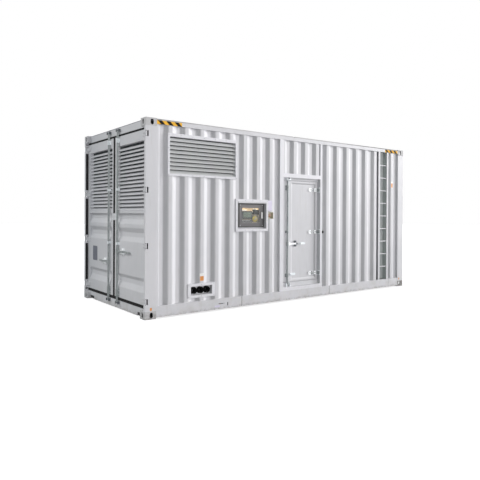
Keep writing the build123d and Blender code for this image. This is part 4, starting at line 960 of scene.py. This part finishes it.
for level in welding["levels"]:
    for bay in welding["bays"]:
        weld([(x, level, foldDepth(x)) for x in foldLine(*bay)], "near")
    weld([(-x, level, foldDepth(x)) for x in foldLine(*wallX)], "far")
weld([(x, wallZ[1], foldDepth(x)) for x in foldLine(*welding["overDoor"])], "near")
for side in ("near", "far"):
    for span in welding["castings"]:
        for level in welding["castingLevels"]:
            line = [(x, level, welding["castingReach"]) for x in span]
            weld(line, side, Radius=welding["thin"])
for x in welding["railEnds"]:
    line = [(x, z, welding["railReach"]) for z in welding["railSpan"]]
    weld(line, "near", Radius=welding["thin"])
welds.done(sharp=60)
print("welds made")


# Fasteners: body, finish, face, reach, head, and places to the right and up on that face

headLooks = {
    "dome": {"Radius": 0.0075, "Height": 0.004, "Sides": 18, "Washer": 0.009},
    "hinge": {"Radius": 0.0085, "Height": 0.007, "Washer": 0.0125},
    "guide": {"Radius": 0.0055, "Height": 0.004, "Washer": 0.0065},
    "bridge": {"Radius": 0.007, "Height": 0.005, "Washer": 0.010},
    "screw": {"Radius": 0.004, "Height": 0.0025, "Sides": 16, "Washer": 0.006},
    "rivet": {"Radius": 0.003, "Height": 0.0014, "Sides": 14, "Washer": 0.0035},
}
bayBolts = grid((-2.654, -2.449, -2.244, -2.039, -1.834, -1.629, -1.423), (2.094, 2.680))
frameBolts = [
    *bayBolts, *grid((-2.654, -1.423), (2.290, 2.485)),
    *grid((-2.302, -2.075, -1.848), (0.260, 0.435)),
    *grid((-1.404, -1.2335, -1.0785, -0.9235, -0.769), (1.255, 1.741)),
    *grid((-1.408, -0.769), (1.417, 1.579)),
]
farBolts = [(-x, z) for x, z in bayBolts]
strapRows = [edge for level in strapLevels for edge in around(level, 0.0185)]
strapBolts = grid((0.352, 0.388), strapRows)
guideBolts = grid((-0.2965, -0.2335), (1.955, 2.011, 1.200, 1.224, 0.432, 0.460))
fasteners = {
    "frameBolts": ("enclosure", "paint", "near", nearFace - 0.0002, "dome", frameBolts),
    "farFrameBolts": ("enclosure", "paint", "far", nearFace - 0.0002, "dome", farBolts),
    "strapBolts": ("side_door", "darkZinc", "near", leafFace + 0.008, "hinge", strapBolts),
    "sideGuideBolts": ("side_door", "darkZinc", "near", leafFace + 0.005, "guide", guideBolts),
}
endGuideLevels = (2.657, 2.693, 1.890, 1.910, 1.030, 1.050, 0.230, 0.295)
endHingeLevels = [edge for level in hingeLevels for edge in around(level, 0.019)]
for name, (way, _) in endDoors.items():
    guides = grid([way * x for x in around(0.175, 0.0315)], endGuideLevels)
    fasteners[name + "GuideBolts"] = (name, "zinc", "door", doorFace + 0.005, "guide", guides)
    hinges = grid((way * 1.072, way * 1.112), endHingeLevels)
    fasteners[name + "HingeBolts"] = (name, "paint", "door", doorFace + 0.010, "hinge", hinges)
    bridge = grid((way * 0.050,), (1.434, 1.496))
    fasteners[name + "BridgeBolts"] = (name, "zinc", "door", doorFace + 0.008, "bridge", bridge)


def fasten(rows):
    for name, (body, finish, side, reach, head, places) in rows.items():
        held = Form(name, body)
        points = [(x, z, 0) for x, z in places]
        held.grow(bolts, points, [], onFace(side, reach), finish, **headLooks[head])
        held.done()


fasten(fasteners)
print("fasteners made")


# Control cover: rubber edge, glazing bead, a pale upright handle and corner screws

cover = {
    "reach": 1.159, "knuckle": 0.010, "margin": 0.0005, "edge": 0.017, "hingeEdge": 0.045,
    "edgeProud": 0.0035, "softness": 0.0012,
    "lap": 0.008, "lip": 0.004, "beadBack": -0.004, "beadProud": 0.003, "corner": 0.01,
    "handle": (-0.848, 1.498), "handleSize": (0.030, 0.112, 0.0145), "handleFoot": 1.172,
    "handleProud": 0.004, "handleSoftness": 0.0015, "screwInset": 0.030, "hingeInset": 0.058,
}
windowMid, windowSize, _, _ = nearBox("control_window")
coverTrim = Form("coverTrim", "control_cover")
(left, right), _, (base, top) = spans("control_cover")
left, right = left + cover["knuckle"], right - cover["margin"]
base, top = base + cover["margin"], top - cover["margin"]
edge, inset = cover["edge"], cover["screwInset"]
coverPlace = onFace("near", cover["reach"])
inner = rectangle(left + cover["hingeEdge"], right - edge, base + edge, top - edge)
coverTrim.ring(rectangle(left, right, base, top), inner, 0, cover["edgeProud"], coverPlace,
               "black", cover["softness"])
outer, inner = (roundRect(*(length + 2 * reach for length in windowSize), cover["corner"])
                for reach in (cover["lap"], -cover["lip"]))
coverTrim.ring(outer, inner, cover["beadBack"], cover["beadProud"],
               onFace("near", cover["reach"], *windowMid), "trim", cover["softness"])
coverTrim.prism(roundRect(*cover["handleSize"], steps=9), 0, cover["handleProud"],
                onFace("near", cover["handleFoot"], *cover["handle"]), "pale",
                cover["handleSoftness"])
corners = grid((left + cover["hingeInset"], right - inset), (base + inset, top - inset))
coverTrim.grow(bolts, [(x, z, 0) for x, z in corners], [], coverPlace, "zinc",
               **headLooks["screw"])
coverTrim.done()


# Controller: what the window shows of the cabinet, from the middle of its back plate

cabinet = {
    "corner": 0.006, "plate": 0.003, "sink": 0.001, "moduleCorner": 0.004, "moduleEdge": 0.0012,
    "modules": (  # middle, size, depth and finish
        ((-0.036, 0.004), (0.252, 0.134), 0.036, "black"),
        ((0.172, 0.053), (0.118, 0.084), 0.036, "black"),
        ((-0.045, -0.098), (0.262, 0.058), 0.030, "trim"),
        ((-0.080, 0.086), (0.096, 0.022), 0.030, "pale"),
        ((0.060, 0.150), (0.330, 0.020), 0.024, "pale"),
        ((0.238, -0.030), (0.020, 0.220), 0.024, "pale"),
        ((0.150, -0.058), (0.122, 0.116), 0.022, "trim"),
    ),
    "strip": ((-0.25, 0.25, 0.166, 0.176), 0.002, 0.034), "stripEdge": 0.001,
    "screen": ((-0.018, 0.010), (0.176, 0.092), 0.036), "screenFrame": (0.206, 0.116),
    "screenCorner": 0.003, "screenProud": 0.0012, "screenEdge": 0.0002, "frameProud": 0.003,
    "keyMiddle": -0.045, "keyGap": 0.020, "keyCount": 8, "keyFace": 0.030,
    "keyRows": ((-0.090, "pale"), (-0.106, "slate")),
    "key": ((0.0001, 0), (0.006, 0), (0.0052, 0.003), (0.0001, 0.0034)),
    "switch": (0.150, -0.058, 0.022), "switchTurn": 38,
    "switchPlate": ((0.054, 0), (0.054, 0.004), (0.050, 0.006), (0.030, 0.006), (0.030, 0.010),
                    (0.027, 0.012), (0.0001, 0.012)),
    "switchLever": ((0.058, 0.017, 0.006), 0.011, 0.024), "switchEdge": 0.002,
    "lamps": ((0.088, 0.060, 0.002), (0.130, 0.104, 0.002), (0.180, 0.104, 0.002)),
    "lamp": ((0.011, 0), (0.011, 0.030), (0.009, 0.033), (0.008, 0.038), (0.0001, 0.041)),
}
middle, size, _, back = nearBox("controller")
place = onFace("near", back, *middle)
plate, sink = cabinet["plate"], cabinet["sink"]
inside = Form("cabinetInside")
span, low, high = cabinet["strip"]
inside.prism(rectangle(*span), low, high, place, "strip", cabinet["stripEdge"])
inside.prism(roundRect(*size, cabinet["corner"]), 0, plate, place, "beige")
for middle, size, depth, finish in cabinet["modules"]:
    outline = roundRect(*size, cabinet["moduleCorner"], *middle)
    inside.prism(outline, plate - sink, depth, place, finish, cabinet["moduleEdge"])
middle, size, face = cabinet["screen"]
corner = cabinet["screenCorner"]
glass = roundRect(*size, corner, *middle)
inside.ring(roundRect(*cabinet["screenFrame"], corner, *middle), glass, face - sink,
            face + cabinet["frameProud"], place, "black")
inside.prism(glass, face - sink, face + cabinet["screenProud"], place, "screen",
             cabinet["screenEdge"])
for level, finish in cabinet["keyRows"]:
    for key in range(cabinet["keyCount"]):
        step = key - (cabinet["keyCount"] - 1) / 2
        spot = (cabinet["keyMiddle"] + step * cabinet["keyGap"], level, cabinet["keyFace"])
        inside.turned(cabinet["key"], place @ Matrix.Translation(spot), finish, sides=16)
switch = place @ Matrix.Translation(cabinet["switch"])
inside.turned(cabinet["switchPlate"], switch, "yellow", sides=40)
size, low, high = cabinet["switchLever"]
lever = switch @ Matrix.Rotation(math.radians(cabinet["switchTurn"]), 4, "Z")
inside.prism(roundRect(*size), low, high, lever, "olive", cabinet["switchEdge"])
for spot in cabinet["lamps"]:
    inside.turned(cabinet["lamp"], place @ Matrix.Translation(spot), "pale", sides=20)
inside.done(("controller",))


# Cable outlet: ribbed glands round the sleeves

gland = {
    "count": 3, "flange": 0.010, "nut": 0.0565, "nutBore": 0.0435, "nutHeight": 0.016,
    "nutEdge": 0.0015, "bore": 0.043, "tube": 0.053, "mouth": 0.048,
    "ribs": ((0.0515, 0.016), (0.0515, 0.022), (0.0485, 0.025), (0.051, 0.028), (0.051, 0.033),
             (0.048, 0.036), (0.0505, 0.039), (0.0505, 0.044), (0.0475, 0.048), (0.0455, 0.052),
             (0.0445, 0.052)),
}
(across, level), (width, _), front, back = nearBox("cable_sleeves")
seat = front - gland["flange"]
reach = width / 2 - gland["nut"]
tube = [(gland["tube"], back - seat), *gland["ribs"], (gland["bore"], gland["mouth"]),
        (gland["bore"], back - seat)]
glands = Form("cableGlands")
for turn in range(gland["count"]):
    shift = reach * (2 * turn / (gland["count"] - 1) - 1)
    place = onFace("near", seat, across + shift, level)
    glands.ring(disc(gland["nut"], 6), disc(gland["nutBore"], 6), 0, gland["nutHeight"], place,
                "rubber", gland["nutEdge"])
    glands.turned([*tube, tube[0]], place, "rubber", sides=48, ends="open")
glands.done(("cable_sleeves",))


# Emergency stop: mushroom head on its stem, the head's levels from the front

stop = {
    "stem": ((0.0001, 0), (0.010, 0)),
    "head": ((0.010, -0.016), (0.026, -0.016), (0.0292, -0.0145), (0.030, -0.011),
             (0.0292, -0.007), (0.026, -0.0035), (0.019, -0.001), (0.010, 0.0005),
             (0.0001, 0.001)),
}
middle, _, front, back = nearBox("emergency_stop_button")
head = [(radius, front - back + level) for radius, level in stop["head"]]
knob = Form("stopButton", "stop_button")
knob.turned([*stop["stem"], *head], onFace("near", back, *middle), "button", sides=40)
knob.done(("emergency_stop_button",))


# Personnel door: pin heads, latch, handle grip and the rubber stop on the wall

door = {
    "pin": (0.495, -1.203), "pinReach": 0.039,
    "pinHead": ((0.0085, 0), (0.0085, 0.0035), (0.0065, 0.0055), (0.0001, 0.006)),
    "latch": (-0.1295, 0.455), "latchReach": leafFace + 0.014, "latchKnobSpot": (-0.036, 0, 0.001),
    "latchKnob": ((0.012, 0), (0.012, 0.006), (0.010, 0.008), (0.0001, 0.0085)),
    "latchPlate": (0.116, 0.032, 0.008), "plateDepth": (-0.001, 0.002), "plateEdge": 0.0008,
    "latchLever": (0.060, 0.012, 0.0055, 0.012), "leverDepth": (0.001, 0.007),
    "leverEdge": 0.001, "grip": (0.103, 0.997), "gripReach": leafFace + 0.024,
    "gripSize": (0.102, 0.034, 0.012), "gripDepth": (-0.0085, 0.0085), "gripEdge": 0.003,
}
pinHeads = Form("hingePinHeads")
for level in strapLevels:
    for way, turn in ((1, 0), (-1, math.pi)):
        spot = Matrix.Translation((*door["pin"], level + way * door["pinReach"]))
        place = spot @ Matrix.Rotation(turn, 4, "X")
        pinHeads.turned(door["pinHead"], place, "zinc", sides=20)
pinHeads.done()
latch = Form("sideLatch", "side_door")
place = onFace("near", door["latchReach"], *door["latch"])
latch.prism(roundRect(*door["latchPlate"]), *door["plateDepth"], place, "zinc",
            door["plateEdge"])
latchKnob = place @ Matrix.Translation(door["latchKnobSpot"])
latch.turned(door["latchKnob"], latchKnob, "zinc", sides=24)
latch.prism(roundRect(*door["latchLever"]), *door["leverDepth"], place, "zinc",
            door["leverEdge"])
latch.done()
grip = Form("sideHandleGrip", "side_lock_bar")
place = onFace("near", door["gripReach"], *door["grip"])
grip.prism(roundRect(*door["gripSize"]), *door["gripDepth"], place, "zinc",
           door["gripEdge"])
grip.done()
middle, _, front, back = nearBox("side_door_bumper")
depth = front - back
bufferProfile = ((0.0001, 0), (0.029, 0), (0.029, 0.005), (0.0265, 0.007),
                 (0.0245, depth - 0.005), (0.021, depth - 0.0005), (0.006, depth),
                 (0.0001, depth - 0.003))
buffer = Form("stopBuffer")
buffer.turned(bufferProfile, onFace("near", back, *middle), "rubber")
buffer.done(("side_door_bumper",))


# Seals, lips, bare plates and dark gaps: face, reach, thickness, finish and areas

slabBodies = {
    "rightMiddleSeal": "right_end_door", "leftMiddleSeal": "left_end_door",
    "bareDoorPlate": "left_end_door",
}


def slabs(rows, edge, corner=0.0):  # the corner is a share of the shorter side
    for name, (side, reach, thick, finish, areas) in rows.items():
        held = Form(name, slabBodies.get(name, "enclosure"))
        for left, right, base, top in areas:
            place, outline = onFace(side, reach), rectangle(left, right, base, top)
            if corner:
                place = onFace(side, reach, (left + right) / 2, (base + top) / 2)
                width, height = right - left, top - base
                outline = roundRect(width, height, min(width, height) * corner)
            held.prism(outline, 0, thick, place, finish, edge)
        held.done()


middleSeal = [(0.0078, 0.030, 0.188, 1.413), (0.0078, 0.030, 1.517, 2.737)]
doorwaySeal = [(-1.150, 1.150, 0.151, 0.1775), (-1.150, 1.150, 2.748, 2.7605)]
edgeSeal = [(-1.145, 1.145, 0.138, 0.1825), (-1.145, 1.145, 2.7425, 2.770)]
jambLevels = ((0.160, 0.180), (0.330, 0.980), (1.130, 1.783), (1.933, 2.590), (2.740, 2.752))
jambSeal = [(*around(3.002, 0.0215), *span) for span in jambLevels]
postFlange = [(2.8125, 2.8525, 0.182, 2.812)]
slabs({
    "rightMiddleSeal": ("door", doorFace - 0.0005, 0.006, "rubber", middleSeal),
    "leftMiddleSeal": ("door", doorFace - 0.0005, 0.006, "rubber", mirrored(middleSeal)),
    "doorwaySeals": ("door", 2.925, 0.051, "rubber", doorwaySeal),
    "edgeSeals": ("door", doorFace + 0.0002, 0.0018, "rubber", edgeSeal),
    "headerSealant": ("door", doorFace + 0.0002, 0.0012, "slate",
                      [(-1.052, 1.052, 2.8790, 2.8872)]),
    "nearPostFlange": ("near", 1.172, 0.0305, "paint", mirrored(postFlange)),
    "farPostFlange": ("far", 1.172, 0.0305, "paint", postFlange),
    "coverLip": ("near", 1.165, 0.0525, "paint", [(-1.3695, -0.7875, 1.700, 1.7195)]),
    "nearJambSeal": ("far", -1.1713, 0.0045, "rubber", jambSeal),
    "farJambSeal": ("near", -1.1713, 0.0045, "rubber", mirrored(jambSeal)),
}, edge=0.002)
onRail = railFace - 0.0001
stripes = [(-2.850, -2.433, 2.8135, 2.8705), (2.414, 2.835, 2.8135, 2.8705)]
labelBacks = [(-2.101, -2.026, 0.486, 0.606), (2.632, 2.696, 2.085, 2.215)]
labels = [(-2.097, -2.030, 0.490, 0.560), (2.636, 2.692, 2.089, 2.180)]
postLabels = [(-2.950, -2.920, 0.126, 0.168), (2.890, 2.920, 0.138, 0.178)]
slabs({
    "railStripes": ("near", onRail, 0.0008, "hazard", stripes),
    "farRailStripes": ("far", onRail, 0.0008, "hazard", mirrored(stripes)),
    "wallBacks": ("near", crestFace - 0.0003, 0.0006, "pale", labelBacks),
    "wallLabels": ("near", crestFace + 0.0001, 0.0007, "orange", labels),
    "earthLabel": ("near", onRail, 0.0007, "white", [(-1.830, -1.735, 0.052, 0.082)]),
    "postLabels": ("near", nearFace - 0.0001, 0.0007, "orange", postLabels),
    "bareWallPlate": ("near", crestFace - 0.0005, 0.002, "white",
                      [(-0.746, -0.652, 1.578, 1.750)]),
    "bareDoorPlate": ("door", doorFace - 0.0002, 0.0015, "slate",
                      [(-0.927, -0.725, 0.700, 0.950)]),
}, edge=0.0002, corner=0.06)
doorRivets = grid((-0.919, -0.733), (0.709, 0.941))
wallRivets = grid((-0.702, -0.660), (1.586, 1.742))
fasten({
    "doorPlateRivets": ("left_end_door", "zinc", "door", doorFace + 0.0012, "rivet", doorRivets),
    "wallPlateRivets": ("enclosure", "zinc", "near", crestFace + 0.0014, "rivet", wallRivets),
})

earthing = {
    "spot": (-1.700, 0.104), "reach": onRail, "bar": (0.104, 0.012, 0.003), "thick": 0.004,
    "edge": 0.001, "studs": ((-0.034, "copper"), (0.034, "zinc")), "seat": 0.003,
    "stud": ((0.0055, 0), (0.0055, 0.003), (0.003, 0.003), (0.003, 0.008), (0.0001, 0.009)),
}
earth = Form("earthingBar")
place = onFace("near", earthing["reach"], *earthing["spot"])
earth.prism(roundRect(*earthing["bar"]), 0, earthing["thick"], place, "darkZinc",
            earthing["edge"])
for x, finish in earthing["studs"]:
    spot = place @ Matrix.Translation((x, 0, earthing["seat"]))
    earth.turned(earthing["stud"], spot, finish, sides=20)
earth.done()

railJoints = [(-1.3015, -1.2945, 0.022, 0.180), (0.7605, 0.7675, 0.022, 0.180)]
# painted shade: black blocks at the backs of the rail pocket and the sill pockets
sillPocketShades = [(-1.0565, -0.863, 0.009, 0.0635), (0.863, 1.0565, 0.009, 0.0635)]
slabs({
    "railJoints": ("near", railFace + 0.0001, 0.0005, "black", railJoints),
    "farRailJoints": ("far", railFace + 0.0001, 0.0005, "black", mirrored(railJoints)),
    "railPocketShade": ("near", 1.190, 0.016, "black", [(-1.612, -1.546, 0.046, 0.128)]),
    "sillPocketShades": ("door", 2.900, 0.060, "black", sillPocketShades),
}, edge=0.0002)
print("trim made")


# Camera at the photograph's angle

cameraPlace = {
    "position": (-6.234, -7.704, 1.524), "azimuth": -37.007, "elevation": 0.156, "roll": 0.305,
    "lens": 37.5515, "shiftY": -0.0519, "sensor": 36,
}


def placeCamera(place):
    turn = math.radians(place["azimuth"])
    rise = math.radians(place["elevation"])
    flat = math.cos(rise)
    back = Vector((math.sin(turn) * flat, -math.cos(turn) * flat, math.sin(rise)))
    right = (-back).cross(Vector((0, 0, 1))).normalized()
    facing = Matrix((right, back.cross(right), back)).transposed().to_4x4()
    data = bpy.data.cameras.new("camera")
    data.sensor_width = place["sensor"]
    data.lens = place["lens"]
    data.shift_y = place["shiftY"]
    camera = linked("camera", data)
    tilt = Matrix.Rotation(math.radians(place["roll"]), 4, "Z")
    camera.matrix_world = Matrix.Translation(place["position"]) @ facing @ tilt
    bpy.context.scene.camera = camera


placeCamera(cameraPlace)


# Light, floor and backdrop

suns = {  # direction they come from, energy, spread in degrees and colour
    "keySun": ((1.0, -0.5, 0.3), 1.5, 20, (1.0, 0.985, 1.0)),
    "keyFill": ((1.0, -0.5, 0.3), 2.0, 40, (1.0, 0.985, 1.0)),
    "doorSun": ((-0.72, 0.3, 0.75), 1.7, 40, (0.985, 0.99, 1.0)),
    "leftSun": ((-1.0, -0.3, 0.3), 0.4, 60, (0.95, 1.0, 0.99)),
    "frontSun": ((0.1, -1.0, 0.2), 0.4, 70, (1.0, 0.99, 1.0)),
    "farSun": ((0.7, 0.7, 0.3), 1.6, 40, (1.0, 1.0, 1.0)),
}
shadowless = ("keyFill",)
softLight = {
    "from": (8.0, -10.0, 5.0), "to": (3.0, -1.2, 1.4), "energy": 130, "size": 6.0,
    "colour": (1.0, 0.99, 1.0),
}


def placeLamp(name, kind, aim, energy, colour):
    data = bpy.data.lights.new(name, kind)
    data.energy = energy
    data.color = colour
    lamp = linked(name, data)
    lamp.rotation_mode = "QUATERNION"
    lamp.rotation_quaternion = Vector(aim).to_track_quat("Z", "Y")
    return lamp


for name, (aim, energy, spread, colour) in suns.items():
    sun = placeLamp(name, "SUN", aim, energy, colour)
    sun.data.angle = math.radians(spread)
    sun.data.use_shadow = name not in shadowless
aim = Vector(softLight["from"]) - Vector(softLight["to"])
soft = placeLamp("frontSoft", "AREA", aim, softLight["energy"], softLight["colour"])
soft.location = softLight["from"]
soft.data.size = softLight["size"]
bpy.context.scene.view_settings.view_transform = "Standard"


backdrop = {  # white to the camera and in glass, and dimmer as light
    "sky": 0.15, "skyColour": (248, 252, 252), "skyInGloss": 0.8,
    "reach": 60, "level": -0.002, "matte": 0.45, "seen": 0.62, "glow": 0.6,
}
white = (1, 1, 1, 1)


def grey(brightness):
    return (*[brightness] * 3, 1)


def paleWorld():
    world = bpy.data.worlds.new("paleWorld")
    world.use_nodes = True
    sky = Wiring(world.node_tree)
    straight = sky.node("ShaderNodeLightPath", output="Is Camera Ray")
    rays = straight.link.node.outputs
    through, glossy = Socket(sky, rays["Is Transmission Ray"]), Socket(sky, rays["Is Glossy Ray"])
    bright = straight.maths("MAXIMUM", through, glossy * backdrop["skyInGloss"])
    share = straight.maths("MAXIMUM", straight, bright)
    seen = sky.node("ShaderNodeBackground", {"Color": white})
    values = {"Color": srgb(*backdrop["skyColour"]), "Strength": backdrop["sky"]}
    light = sky.node("ShaderNodeBackground", values)
    mixed = sky.node("ShaderNodeMixShader", {0: share, 1: light, 2: seen})
    sky.node("ShaderNodeOutputWorld", {"Surface": mixed})
    bpy.context.scene.world = world


def paleFloor():
    shade = Shade("paleFloor")
    rays = shade.node("ShaderNodeLightPath", output="Is Camera Ray")
    matte = shade.node("ShaderNodeBsdfDiffuse", {"Color": grey(backdrop["matte"])})
    seen = shade.node("ShaderNodeBsdfDiffuse", {"Color": grey(backdrop["seen"])})
    glow = shade.node("ShaderNodeEmission", {"Color": white, "Strength": backdrop["glow"]})
    pale = shade.node("ShaderNodeAddShader", {0: seen, 1: glow})
    shade.close(shade.node("ShaderNodeMixShader", {0: rays, 1: matte, 2: pale}))
    mesh = bpy.data.meshes.new("floor")
    span = (-backdrop["reach"], backdrop["reach"])
    corners = [(x, y, backdrop["level"]) for x, y in rectangle(*span, *span)]
    mesh.from_pydata(corners, [], [(0, 1, 2, 3)])
    mesh.materials.append(shade.material)
    linked("floor", mesh)


paleWorld()
paleFloor()
print("camera, light and floor placed")
